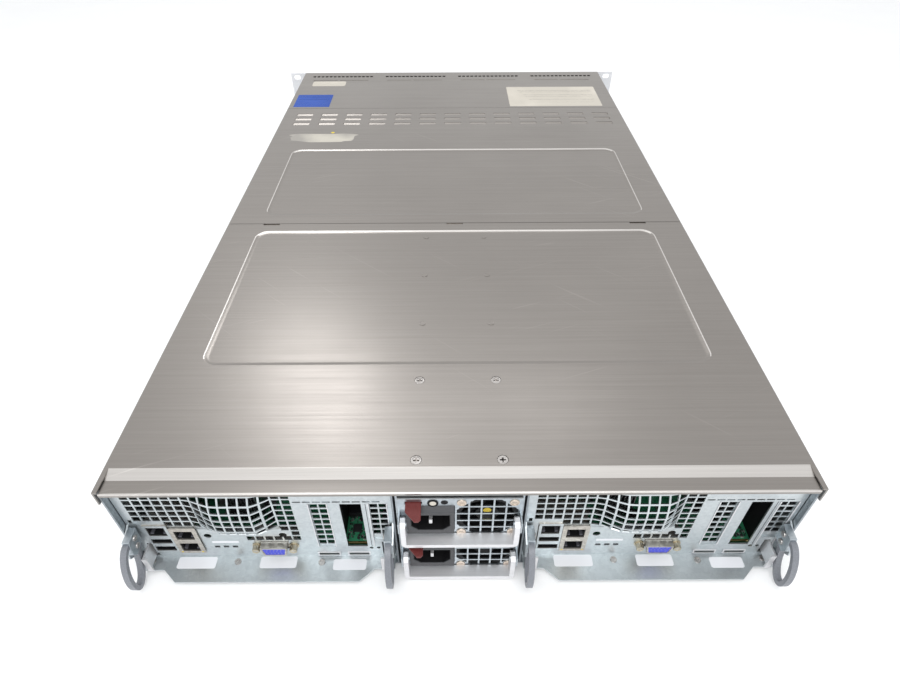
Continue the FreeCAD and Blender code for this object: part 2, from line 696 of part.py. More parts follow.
def psu_handle(z):
    """U-shaped strip hanging in front of the face, bored for its two pivots."""
    outer, inner, pivot = bail_frame(z)
    y0 = PSU_FACE + 0.5
    bottom = z + BAIL_BOTTOM
    top = pivot.z
    bend = BAIL_R
    outline = Part.Wire([
        Part.makeLine(V(-outer, y0, top), V(-outer, y0, bottom + bend)),
        Part.makeCircle(bend, V(-outer + bend, y0, bottom + bend), V(0, -1, 0), 180, 270),
        Part.makeLine(V(-outer + bend, y0, bottom), V(outer - bend, y0, bottom)),
        Part.makeCircle(bend, V(outer - bend, y0, bottom + bend), V(0, -1, 0), 270, 360),
        Part.makeLine(V(outer, y0, bottom + bend), V(outer, y0, top)),
        Part.makeLine(V(outer, y0, top), V(-outer, y0, top))])
    strip = Part.Face(outline).extrude(V(0, BAIL_D, 0))
    strip = strip.cut(box(-inner, inner, y0 - 1, y0 + BAIL_D + 1, bottom + BAIL_T, top + 1))
    ends = []
    reach = BAIL_D / 2
    for side in (-1, 1):
        x = min(side * inner, side * outer)
        ends.append(prism([(x, pivot.y - reach, top), (x, pivot.y + reach, top),
                           (x, pivot.y + reach, top + 0.4 * reach),
                           (x, pivot.y + 0.4 * reach, top + reach),
                           (x, pivot.y - 0.4 * reach, top + reach),
                           (x, pivot.y - reach, top + 0.4 * reach)], V(BAIL_T, 0, 0)))
    strip = fuse(strip, ends)
    bores = [cyl(BAIL_PIN_R + BAIL_PIN_CLEAR, V(side * (inner - 1), pivot.y, pivot.z),
                 V(side * (outer + 1), pivot.y, pivot.z)) for side in (-1, 1)]
    return cut(strip, bores)


def psu_tab(z):
    """Release tab: a thumb plate through a slot in the face."""
    x0, x1 = TAB_X - TAB_W / 2, TAB_X + TAB_W / 2
    zb = z + TAB_Z - TAB_T / 2
    plate = prism([(x0, PSU_FACE - TAB_IN, zb), (x0, PSU_FACE + TAB_OUT - 1.5, zb),
                   (x0 + 1.5, PSU_FACE + TAB_OUT, zb), (x1 - 5.0, PSU_FACE + TAB_OUT, zb),
                   (x1, PSU_FACE + TAB_OUT - 7.0, zb), (x1, PSU_FACE - TAB_IN, zb)],
                  V(0, 0, TAB_T))
    return plate


# ---- sled, drawn with its own middle at x = 0 and moved to its bay ---------------------
def sled_tray():
    """Floor with the chamfered rear lip, two side walls and the handle cheeks."""
    lip = HALF - LIP_SIDE
    chamfer = LIP_CHAMFER
    short = REAR + LIP_SHORT
    outline = [(-HALF, SLED_FRONT, SLED_Z), (HALF, SLED_FRONT, SLED_Z), (HALF, PANEL_Y, SLED_Z),
               (INNER, PANEL_Y, SLED_Z), (INNER, short, SLED_Z), (lip, short, SLED_Z),
               (lip - chamfer, REAR + LIP_OUT, SLED_Z), (-lip + chamfer, REAR + LIP_OUT, SLED_Z),
               (-lip, short, SLED_Z), (-INNER, short, SLED_Z), (-INNER, PANEL_Y, SLED_Z),
               (-HALF, PANEL_Y, SLED_Z)]
    tray = prism(outline, V(0, 0, SHEET))
    cheek = PANEL_Y - SLED_CHEEK_L
    walls = []
    for side in (-1, 1):
        x = -HALF if side < 0 else INNER
        wall = [(x, SLED_FRONT, SLED_Z), (x, SLED_FRONT, SLED_Z + SLED_SIDE_H),
                (x, cheek - 20, SLED_Z + SLED_SIDE_H), (x, cheek, SLED_TOP), (x, PANEL_Y, SLED_TOP),
                (x, PANEL_Y, 44.0), (x, REAR + 6.0, 37.0), (x, REAR + 7.5, 24.0),
                (x, PANEL_Y, 12.0), (x, PANEL_Y, SLED_Z)]
        walls.append(prism(wall, V(SHEET, 0, 0)))
    board_half = HALF - BOARD_SIDE
    posts = []
    for side in (-1, 1):
        for y in (SLED_FRONT + 20, (SLED_FRONT + PANEL_Y) / 2, PANEL_Y - 30):
            posts.append(regular_prism(3.2, 6, V(side * (board_half - 6), y, SLED_FLOOR),
                                       V(0, 0, BOARD_Z - SLED_FLOOR)))
        pin_x, pin_y = latch_pin(side)
        posts.append(cyl(LATCH_PIN_R, V(pin_x, pin_y, SLED_FLOOR - 0.5), V(pin_x, pin_y, LATCH_Z1 + 1)))
    return fuse(tray, walls + posts)


def mesh_x(column):
    """Right-hand edge of a mesh column, counted from the slots' side."""
    return HALF - MESH_EDGE - (MESH_COLS - column) * MESH_PITCH


def mesh_cell(column, row):
    x = mesh_x(column)
    z = MESH_Z0 + row * MESH_ROW
    top = min(z + MESH_ROW - MESH_BAR, SLED_TOP - 2.2)
    return box(x + MESH_BAR, x + MESH_PITCH, PANEL_Y - 2, PANEL_Y + BULGE_OUT + 2,
               z + MESH_BAR / 2, top + MESH_BAR / 2)


def bulge_body(inset):
    """The pressed-out block under the bulged mesh; an inset body hollows it to a sheet."""
    bar = MESH_BAR / 2
    b0, b1, b2, b3 = [mesh_x(c) + bar for c in (BULGE_COL0, BULGE_COL1, BULGE_COL2, BULGE_COL3)]
    b0, b3 = b0 + inset, b3 - inset
    out = PANEL_Y + BULGE_OUT - inset
    base = PANEL_Y - inset
    back = base - inset
    z0 = MESH_Z0 - BULGE_FOOT + inset
    z1 = MESH_Z0 + BULGE_ROW1 * MESH_ROW
    z2 = MESH_Z0 + BULGE_ROW2 * MESH_ROW
    top = SLED_TOP - 0.6 - inset
    across = [(b0, back, 0), (b3, back, 0), (b3, base, 0), (b2, out, 0), (b1, out, 0), (b0, base, 0)]
    side = [(b0, back, z0), (b0, base, z0), (b0, out, MESH_Z0 + inset), (b0, out, z1),
            (b0, PANEL_Y + BULGE_BEND_OUT - inset, z2), (b0, base, top), (b0, back, top)]
    if inset == 0:
        across = [across[0], across[1], across[3], across[4]]
        side = [side[0]] + side[2:5] + [side[6]]
    upright = prism(across, V(0, 0, BODY_H))
    return upright.common(prism(side, V(b3 - b0, 0, 0)))


def combo_x():
    """Left and right edge of the stacked management and USB sockets."""
    right = HALF - COMBO_SIDE
    return right - COMBO_W, right


def lan_x():
    left, right = combo_x()
    return left - LAN_GAP - LAN_W, left - LAN_GAP


def slot_windows():
    """Left, right and bottom of the three expansion slot windows."""
    first = -HALF + SLOT_SIDE
    second = first + SLOT_STEP_1
    third = second + SLOT_STEP_2
    pierced, free = SLOT_PIERCED_W / 2, SLOT_OPEN_W / 2
    return [(first - pierced, first + pierced, SLOT_Z0_SHORT),
            (second - free, second + free, SLOT_Z0),
            (third - pierced, third + pierced, SLOT_Z0)]


def vga_x():
    """Middle of the video connector, between the slots and the stacked network sockets."""
    return (slot_windows()[2][1] + lan_x()[0]) / 2 + VGA_OFF


def rear_panel():
    """Perforated rear panel with the bulged mesh, the slot windows and the socket cut-outs."""
    sheet = box(-INNER, INNER, PANEL_Y - PANEL_T, PANEL_Y, SLED_FLOOR, SLED_TOP)
    sheet = sheet.fuse(bulge_body(0)).cut(bulge_body(PANEL_T))
    combo_0, combo_1 = combo_x()
    lan_0, lan_1 = lan_x()
    holes = []
    for column in range(MESH_COLS):
        for row in range(-3, 7):
            x = mesh_x(column)
            in_bulge = BULGE_COL0 <= column < BULGE_COL3 - 1
            over_lan = x + MESH_PITCH < combo_0
            if row in (1, 2, 3, 4, 5) or (row == 0 and over_lan and column >= BULGE_COL0):
                holes.append(mesh_cell(column, row))
            elif row == 6 and in_bulge:
                holes.append(mesh_cell(column, row))
            elif column < 2 and row in (0, -1, -2) and (column, row) != (1, -2):
                holes.append(mesh_cell(column, row))
            elif column < 6 and row == -3:
                holes.append(mesh_cell(column, row))
    y0, y1 = PANEL_Y - 2, PANEL_Y + 1
    for x0, x1, z0 in slot_windows():
        holes.append(box(x0, x1, y0, y1, z0, SLOT_Z1))
    holes.append(box(combo_0 - SEAT_GAP, combo_1 + SEAT_GAP, y0, y1, BOARD_TOP, BOARD_TOP + COMBO_H + SEAT_GAP))
    holes.append(box(lan_0 - SEAT_GAP, lan_1 + SEAT_GAP, y0, y1, BOARD_TOP, BOARD_TOP + LAN_H + SEAT_GAP))
    vx = vga_x()
    half_w, half_h = VGA_SHELL_W / 2 + 0.4, VGA_SHELL_H / 2 + 0.4
    holes.append(box(vx - half_w, vx + half_w, y0, y1, VGA_Z - half_h, VGA_Z + half_h))
    for i in range(3):
        x = lan_0 - 9.0 - i * 6.1
        holes.append(box(x - 1.8, x + 1.8, y0, y1, 14.4, 16.8))
    holes.append(cyl(2.5, V(lan_0 - 6.0, y0, 29.5), V(lan_0 - 6.0, y1, 29.5)))
    for side in (-1, 1):
        pin_x, pin_y = latch_pin(side)
        inward = -side
        a, b = sorted((pin_x - inward * (LATCH_T / 2 + 0.7), pin_x + inward * (LATCH_T / 2 + LATCH_SWING)))
        holes.append(box(a, b, y0, y1, LATCH_Z0 - 0.6, LATCH_Z1 + 0.6))
    for x0, x1, _ in slot_windows()[1:]:
        x = (x0 + x1) / 2
        holes.append(box(x - PULL_SLOT_W / 2, x + PULL_SLOT_W / 2, y0, y1,
                         PULL_SLOT_Z - PULL_SLOT_H / 2, PULL_SLOT_Z + PULL_SLOT_H / 2))
    return cut(sheet, holes)


def slot_brackets():
    """Pierced blanking strips behind the outer two slot windows."""
    strips = []
    y1 = PANEL_Y - PANEL_T
    lap = BRACKET_LAP
    for x0, x1, z0 in slot_windows()[::2]:
        strip = box(x0 - lap, x1 + lap, y1 - BRACKET_T, y1, z0 - lap, SLOT_Z1 + 6)
        ledge = box(x0 - lap, x1 + lap, y1 - 11.0, y1, SLOT_Z1 + 6, SLOT_Z1 + 6 + BRACKET_T)
        cells = []
        middle = (x0 + x1) / 2
        rows = int((SLOT_Z1 - z0) / SLOT_CELL_ROW)
        for i in (-1, 1):
            inner = middle + i * SLOT_CELL_GAP / 2
            a, b = sorted((inner, inner + i * SLOT_CELL_W))
            for j in range(rows):
                z = SLOT_Z1 - 0.8 - j * SLOT_CELL_ROW
                cells.append(box(a, b, y1 - 2, y1 + 1, z - SLOT_CELL_H, z))
        strips.append(cut(fuse(strip, [ledge]), cells))
    return strips


def mainboard():
    """Main circuit board with its processor sockets, and the riser board behind the open slot."""
    half = HALF - BOARD_SIDE
    y0 = SLED_FRONT + 4.0
    y1 = PANEL_Y - PANEL_T - 0.6
    board = box(-half, half, y0, y1, BOARD_Z, BOARD_TOP)
    extras = []
    for y in cpu_ys():
        half = CPU_SOCKET / 2
        extras.append(box(-half, half, y - half, y + half, BOARD_TOP, BOARD_TOP + SOCKET_T))
    x0, x1, z0 = slot_windows()[1]
    riser_y = y1 - RISER_IN
    under = z0 - BOARD_T / 2
    extras.append(box(x0, x1, riser_y - RISER_L + 5, riser_y - RISER_L / 3, BOARD_TOP, under))
    board = fuse(board, extras)
    riser = box(x0 - RISER_LAP, x1 + RISER_LAP, riser_y - RISER_L, riser_y, under, under + BOARD_T)
    return [board, riser]


def cpu_ys():
    span = PANEL_Y - SLED_FRONT
    return [SLED_FRONT + span * 0.26, SLED_FRONT + span * 0.6]


def heatsinks():
    """One finned block on each processor socket."""
    blocks = []
    for y in cpu_ys():
        z = BOARD_TOP + SOCKET_T
        half = SINK_W / 2
        base = box(-half, half, y - SINK_L / 2, y + SINK_L / 2, z, z + SINK_BASE)
        pitch = (SINK_W - FIN_T) / (FIN_N - 1)
        fins = [box(-half + i * pitch, -half + i * pitch + FIN_T, y - SINK_L / 2, y + SINK_L / 2,
                    z + SINK_BASE, z + SINK_H) for i in range(FIN_N)]
        blocks.append(fuse(base, fins))
    return blocks


def memory():
    """Six memory modules for each processor, three at each side of it."""
    sticks = []
    for y in cpu_ys():
        for side in (-1, 1):
            for i in range(3):
                x = side * (SINK_W / 2 + (i + 0.7) * STICK_PITCH)
                sticks.append(box(x - STICK_T / 2, x + STICK_T / 2, y - STICK_L / 2, y + STICK_L / 2,
                                  BOARD_TOP, BOARD_TOP + STICK_H))
    return sticks


def socket_block(x0, x1, height, cavities):
    """Metal-shelled socket with its hollows open to the rear."""
    y1 = PANEL_Y + PORT_OUT
    block = box(x0, x1, y1 - PORT_DEPTH, y1, BOARD_TOP, BOARD_TOP + height)
    return cut(block, [box(a, b, y1 - PORT_CAVITY, y1 + 1, c, d) for a, b, c, d in cavities])


def port_cavities():
    """Name, left, right, bottom and top of each socket's hollow."""
    combo = sum(combo_x()) / 2
    lan = sum(lan_x()) / 2
    z = BOARD_TOP
    jack, usb = JACK_W / 2, USB_W / 2
    return {"usb_low": (combo - usb, combo + usb, z + 2.2, z + 2.2 + USB_H),
            "usb_high": (combo - usb, combo + usb, z + 11.4, z + 11.4 + USB_H),
            "manage": (combo - jack, combo + jack, z + 20.8, z + 20.8 + JACK_H),
            "lan_low": (lan - jack, lan + jack, z + 1.8, z + 1.8 + JACK_H),
            "lan_high": (lan - jack, lan + jack, z + 16.4, z + 16.4 + JACK_H)}


def ports():
    """Stacked sockets, the video connector with its insert, and its two posts."""
    holes = port_cavities()
    combo_0, combo_1 = combo_x()
    lan_0, lan_1 = lan_x()
    combo = socket_block(combo_0, combo_1, COMBO_H, [holes[k] for k in ("usb_low", "usb_high", "manage")])
    lan = socket_block(lan_0, lan_1, LAN_H, [holes[k] for k in ("lan_low", "lan_high")])
    vx = vga_x()
    w, h = VGA_SHELL_W / 2, VGA_SHELL_H / 2
    back = PANEL_Y - PANEL_T - 0.3
    flange = box(vx - 15.5, vx + 15.5, back - 10, back, BOARD_TOP, VGA_Z + 6.5)
    rim = [(vx - w, back, VGA_Z + h), (vx + w, back, VGA_Z + h), (vx + w - 1.6, back, VGA_Z - h),
           (vx - w + 1.6, back, VGA_Z - h)]
    shell = prism(rim, V(0, PANEL_Y + VGA_OUT - back, 0))
    w, h = w - 0.8, h - 0.8
    seat = PANEL_Y + VGA_OUT - 1.6
    hollow = [(vx - w, seat, VGA_Z + h), (vx + w, seat, VGA_Z + h), (vx + w - 1.6, seat, VGA_Z - h),
              (vx - w + 1.6, seat, VGA_Z - h)]
    hood = prism(hollow, V(0, 3.0, 0))
    body = fuse(flange, [shell]).cut(hood)
    insert = prism(hollow, V(0, 1.2, 0))
    posts = []
    for side in (-1, 1):
        centre = V(vx + side * VGA_POSTS / 2, PANEL_Y, VGA_Z)
        hexagon = Part.makePolygon([centre + V(POST_R * math.cos(math.radians(60 * i)), 0,
                                               POST_R * math.sin(math.radians(60 * i)))
                                    for i in range(7)])
        posts.append(Part.Face(hexagon).extrude(V(0, POST_OUT, 0)))
    return [combo, lan, body, insert] + posts


def oval_wire(half_l, half_w, x):
    """Elliptical outline, standing along Z in the plane at x."""
    oval = Part.Ellipse(V(x, 0, half_l), V(x, half_w, 0), V(x, 0, 0))
    return Part.Wire([oval.toShape()])


def pull_handles():
    """Two ring handles, each with a foot that lies on the tray's cheek."""
    solids = []
    for side in (-1, 1):
        x = -INNER if side < 0 else INNER - HANDLE_T
        push = V(HANDLE_T, 0, 0)
        ring = Part.Face(oval_wire(HANDLE_L, HANDLE_W, x)).extrude(push)
        loop = Part.Face(oval_wire(LOOP_L, LOOP_W, x)).extrude(push)
        for shape in (ring, loop):
            shape.rotate(V(0, 0, 0), X_AXIS, HANDLE_TILT)
            shape.translate(V(0, REAR + HANDLE_Y, HANDLE_Z))
        foot = prism([(x, REAR - 4.0, 41.0), (x, REAR + 6.0, 41.5), (x, REAR + 8.0, 30.0),
                      (x, REAR + 4.0, 22.0), (x, REAR - 3.0, 26.0)], push)
        solids.append(ring.fuse(foot).cut(loop).removeSplitter())
    return solids


def latch_pin(side):
    """Upright pin that carries a latch, at the given side of the sled."""
    return side * (HALF - LATCH_SIDE), PANEL_Y - LATCH_IN


def latch(side):
    """Bent strip on an upright pin, ending in a thumb pad outside the panel."""
    pin_x, pin_y = latch_pin(side)
    inward = -side
    y1 = PANEL_Y + LATCH_OUT
    x0, x1 = pin_x - LATCH_T / 2, pin_x + LATCH_T / 2
    pad_0, pad_1 = sorted((pin_x, pin_x + inward * LATCH_PAD))
    reach = LATCH_EYE_R
    eye = box(pin_x - reach, pin_x + reach, pin_y - reach, pin_y + reach, LATCH_Z0, LATCH_Z1)
    strip = box(x0, x1, pin_y, y1, LATCH_Z0, LATCH_Z1)
    pad = box(pad_0, pad_1, y1 - LATCH_T, y1, LATCH_Z0, LATCH_Z1)
    bore = cyl(LATCH_PIN_R + LATCH_CLEAR, V(pin_x, pin_y, LATCH_Z0 - 1), V(pin_x, pin_y, LATCH_Z1 + 1))
    return fuse(eye, [strip, pad]).cut(bore)


# ---- ears ----------------------------------------------------------------------
def rack_ears():
    ears = []
    for side in (-1, 1):
        a, b = sorted((side * SIDE_OUT, side * EAR_W / 2))
        flange = box(a, b, FRONT, EAR_FRONT, SEAT_GAP, BODY_H - SEAT_GAP - SKIRT_H)
        upper_a, upper_b = sorted((side * (BODY_W / 2 + SEAT_GAP), side * EAR_W / 2))
        upper = box(upper_a, upper_b, FRONT, EAR_FRONT, BODY_H - SEAT_GAP - SKIRT_H - 0.5, BODY_H)
        leg_a, leg_b = sorted((side * SIDE_OUT, side * (SIDE_OUT + EAR_T)))
        leg = box(leg_a, leg_b, FRONT, FRONT + EAR_LEG, SEAT_GAP + 4, BODY_H - SKIRT_H - 4)
        ear = fuse(flange, [upper, leg])
        reach = EAR_SLOT_L / 2 - EAR_SLOT_R
        x = side * EAR_HOLES_X / 2
        holes = [button_shape(side, BUTTON_CLEAR, FRONT - 1, EAR_FRONT + 1)]
        for z in (BODY_H / 2 - EAR_HOLES_Z / 2, BODY_H / 2 + EAR_HOLES_Z / 2):
            holes.append(ear_slot(x, z, reach))
        ears.append(ear.cut(holes).removeSplitter())
    return ears


def ear_slot(x, z, reach):
    """Cutter for one screw slot, round at both ends."""
    y = FRONT - 1
    r = EAR_SLOT_R
    right = Part.Arc(V(x + reach, y, z - r), V(x + reach + r, y, z), V(x + reach, y, z + r)).toShape()
    left = Part.Arc(V(x - reach, y, z + r), V(x - reach - r, y, z), V(x - reach, y, z - r)).toShape()
    outline = Part.Wire([right, Part.makeLine(V(x + reach, y, z + r), V(x - reach, y, z + r)), left,
                         Part.makeLine(V(x - reach, y, z - r), V(x + reach, y, z - r))])
    return Part.Face(outline).extrude(V(0, EAR_T + 2, 0))


def button_shape(side, clear, y0, y1):
    """Upright key with cut corners, grown all round by clear."""
    w = BUTTON_W / 2 + clear
    h = BUTTON_H / 2 + clear
    c = BUTTON_CORNER
    x = button_x(side)
    z = BUTTON_Z
    return prism([(x - w, y0, z - h + c), (x - w + c, y0, z - h), (x + w - c, y0, z - h),
                  (x + w, y0, z - h + c), (x + w, y0, z + h - c), (x + w - c, y0, z + h),
                  (x - w + c, y0, z + h), (x - w, y0, z + h - c)], V(0, y1 - y0, 0))


def button_x(side):
    return side * (EAR_W / 2 + BODY_W / 2) / 2


def ear_panels():
    """Plastic control panels on the ears, with a bore for the button."""
    panels = []
    for side in (-1, 1):
        a, b = sorted((side * (BODY_W / 2 + EAR_PANEL_SIDE), side * (EAR_W / 2 - EAR_PANEL_SIDE / 2)))
        middle = BODY_H / 2
        panel = box(a, b, FRONT - EAR_PANEL_OUT, FRONT, middle - EAR_PANEL_H / 2, middle + EAR_PANEL_H / 2)
        edges = [e for e in panel.Edges if abs(e.Vertexes[0].Y - e.Vertexes[-1].Y) > 1]
        panel = panel.makeChamfer(EAR_PANEL_CORNER, edges)
        panels.append(panel.cut(button_shape(side, BUTTON_CLEAR, FRONT - EAR_PANEL_OUT - 1, FRONT + 1)))
    return panels


def power_button(side):
    return button_shape(side, 0.0, FRONT - EAR_PANEL_OUT - BUTTON_OUT, FRONT - BUTTON_TRAVEL - 0.2)


# ---- build ---------------------------------------------------------------------
def main():
    os.makedirs("parts", exist_ok=True)
    save("chassis_tray", chassis_tray())
    save("front_cover", front_cover())
    save("fan_cover", fan_cover())
    save("rear_cover", rear_cover())
    save("case_screws", *case_screws())
    save("psu_cage", psu_cage())
    save("power_board", power_board())
    save("drive_cage", drive_cage())
    save("backplane", backplane())
    save("rack_ears", *rack_ears())
    save("ear_panels", *ear_panels())
    save("fan_frames", *[moved(fan_frame(FAN_SIZE, FAN_DEPTH), *c) for c in fan_centres()])
    for i, centre in enumerate(fan_centres(), 1):
        save("fan_rotor_%d" % i, moved(fan_rotor(FAN_SIZE, FAN_DEPTH), *centre))
    for name, side in (("a", 1), ("b", -1)):
        save("power_button_" + name, power_button(side))
    number = 1
    for row in range(DRIVE_ROWS):
        for column in range(DRIVE_COLS):
            save("drive_%02d" % number, *drive(column, row))
            number += 1
    for name, z in (("low", PSU_Z[0]), ("high", PSU_Z[1])):
        save("psu_" + name + "_case", psu_case(z), psu_fan_frame(z))
        save("psu_" + name + "_inlet", psu_inlet(z))
        save("psu_" + name + "_handle", psu_handle(z))
        save("psu_" + name + "_tab", psu_tab(z))
        save("psu_" + name + "_rotor", psu_rotor(z))
    pieces = {"tray": [sled_tray()], "rear_panel": [rear_panel()], "slot_brackets": slot_brackets(),
              "mainboard": mainboard(), "heatsinks": heatsinks(), "memory": memory(),
              "ports": ports(), "handles": pull_handles(), "latch_left": [latch(1)],
              "latch_right": [latch(-1)]}
    for sled, x in (("a", SLED_X), ("b", -SLED_X)):
        for piece, solids in pieces.items():
            save("sled_%s_%s" % (sled, piece), *[moved(s, x) for s in solids])


main()
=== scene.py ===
import math
import random
from dataclasses import dataclass
from enum import Enum
from typing import Callable, Iterable

import bpy
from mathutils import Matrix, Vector


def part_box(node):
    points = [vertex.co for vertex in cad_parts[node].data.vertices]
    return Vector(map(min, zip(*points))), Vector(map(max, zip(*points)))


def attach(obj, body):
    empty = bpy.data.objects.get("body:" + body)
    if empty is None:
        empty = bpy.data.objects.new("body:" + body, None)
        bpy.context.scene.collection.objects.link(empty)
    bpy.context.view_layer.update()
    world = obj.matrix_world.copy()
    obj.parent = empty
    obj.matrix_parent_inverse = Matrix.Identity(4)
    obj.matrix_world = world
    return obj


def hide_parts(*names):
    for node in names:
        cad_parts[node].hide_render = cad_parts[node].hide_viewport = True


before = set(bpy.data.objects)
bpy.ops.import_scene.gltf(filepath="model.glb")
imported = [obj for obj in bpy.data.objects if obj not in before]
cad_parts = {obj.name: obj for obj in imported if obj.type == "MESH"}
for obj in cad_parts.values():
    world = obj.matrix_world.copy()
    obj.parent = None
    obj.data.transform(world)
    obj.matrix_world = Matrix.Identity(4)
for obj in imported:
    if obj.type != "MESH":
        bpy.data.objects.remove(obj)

MM = 0.001
Point = tuple[float, float, float]
Colour = tuple[float, float, float]


# ---- finishes ------------------------------------------------------------------
class Texture(Enum):
    """Kinds of surface a finish can carry."""

    BRUSHED = "brushed"
    SPANGLE = "spangle"
    MOULDED = "moulded"
    PAINTED = "painted"
    BOARD = "board"
    PAPER = "paper"


class Graph:
    """Short way to lay down and join shader nodes in one node tree."""

    def __init__(self, tree: bpy.types.NodeTree) -> None:
        """Start on an empty tree.

        Args:
            tree: The node tree to fill.
        """
        self.tree = tree
        tree.nodes.clear()

    def add(self, kind: str, inputs: dict | None = None, **settings: object) -> bpy.types.Node:
        """Add a node, set its options and fill its inputs.

        Args:
            kind: The node's type without the ShaderNode prefix.
            inputs: Values or output sockets, by input name or number.
            settings: Options of the node itself.

        Returns:
            The new node.
        """
        name = kind if kind.startswith("NodeGroup") else "ShaderNode" + kind
        node = self.tree.nodes.new(name)
        for key, value in settings.items():
            setattr(node, key, value)
        for key, value in (inputs or {}).items():
            socket = node.inputs[key]
            if isinstance(value, bpy.types.NodeSocket):
                self.tree.links.new(value, socket)
            else:
                socket.default_value = value
        return node

    def maths(self, operation: str, first: object, second: object = 0.0) -> bpy.types.NodeSocket:
        """Add a math node.

        Args:
            operation: The sum it does.
            first: Its first value or socket.
            second: Its second value or socket.

        Returns:
            The result's socket.
        """
        return self.add("Math", {0: first, 1: second}, operation=operation).outputs[0]

    def scaled(self, vector: object, factors: Point) -> bpy.types.NodeSocket:
        """Stretch a position along the three axes.

        Args:
            vector: The position socket.
            factors: How far to stretch along X, Y and Z.

        Returns:
            The stretched position's socket.
        """
        node = self.add("VectorMath", {0: vector, 1: factors}, operation="MULTIPLY")
        return node.outputs[0]

    def noise(self, vector: object, scale: float, detail: float = 3.0) -> bpy.types.NodeSocket:
        """Add a noise texture.

        Args:
            vector: The position socket.
            scale: How fine the noise is.
            detail: How many finer layers it carries.

        Returns:
            The noise value's socket.
        """
        inputs = {"Vector": vector, "Scale": scale, "Detail": detail}
        return self.add("TexNoise", inputs).outputs["Fac"]

    def spread(self, value: object, low: float, high: float, to_low: float = 0.0,
               to_high: float = 1.0) -> bpy.types.NodeSocket:
        """Map a value from one range to another, held at its ends.

        Args:
            value: The value's socket.
            low: Where the old range starts.
            high: Where the old range ends.
            to_low: Where the new range starts.
            to_high: Where the new range ends.

        Returns:
            The mapped value's socket.
        """
        inputs = {"Value": value, "From Min": low, "From Max": high, "To Min": to_low,
                  "To Max": to_high}
        return self.add("MapRange", inputs).outputs["Result"]

    def mix(self, factor: object, first: object, second: object,
            blend: str = "MIX") -> bpy.types.NodeSocket:
        """Mix two colours.

        Args:
            factor: How much of the second colour shows.
            first: The first colour or socket.
            second: The second colour or socket.
            blend: How the two are mixed.

        Returns:
            The mixed colour's socket.
        """
        node = self.add("Mix", {0: factor}, data_type="RGBA", blend_type=blend)
        for slot, value in ((6, first), (7, second)):
            if isinstance(value, bpy.types.NodeSocket):
                self.tree.links.new(value, node.inputs[slot])
            else:
                node.inputs[slot].default_value = (*value, 1.0)
        return node.outputs[2]


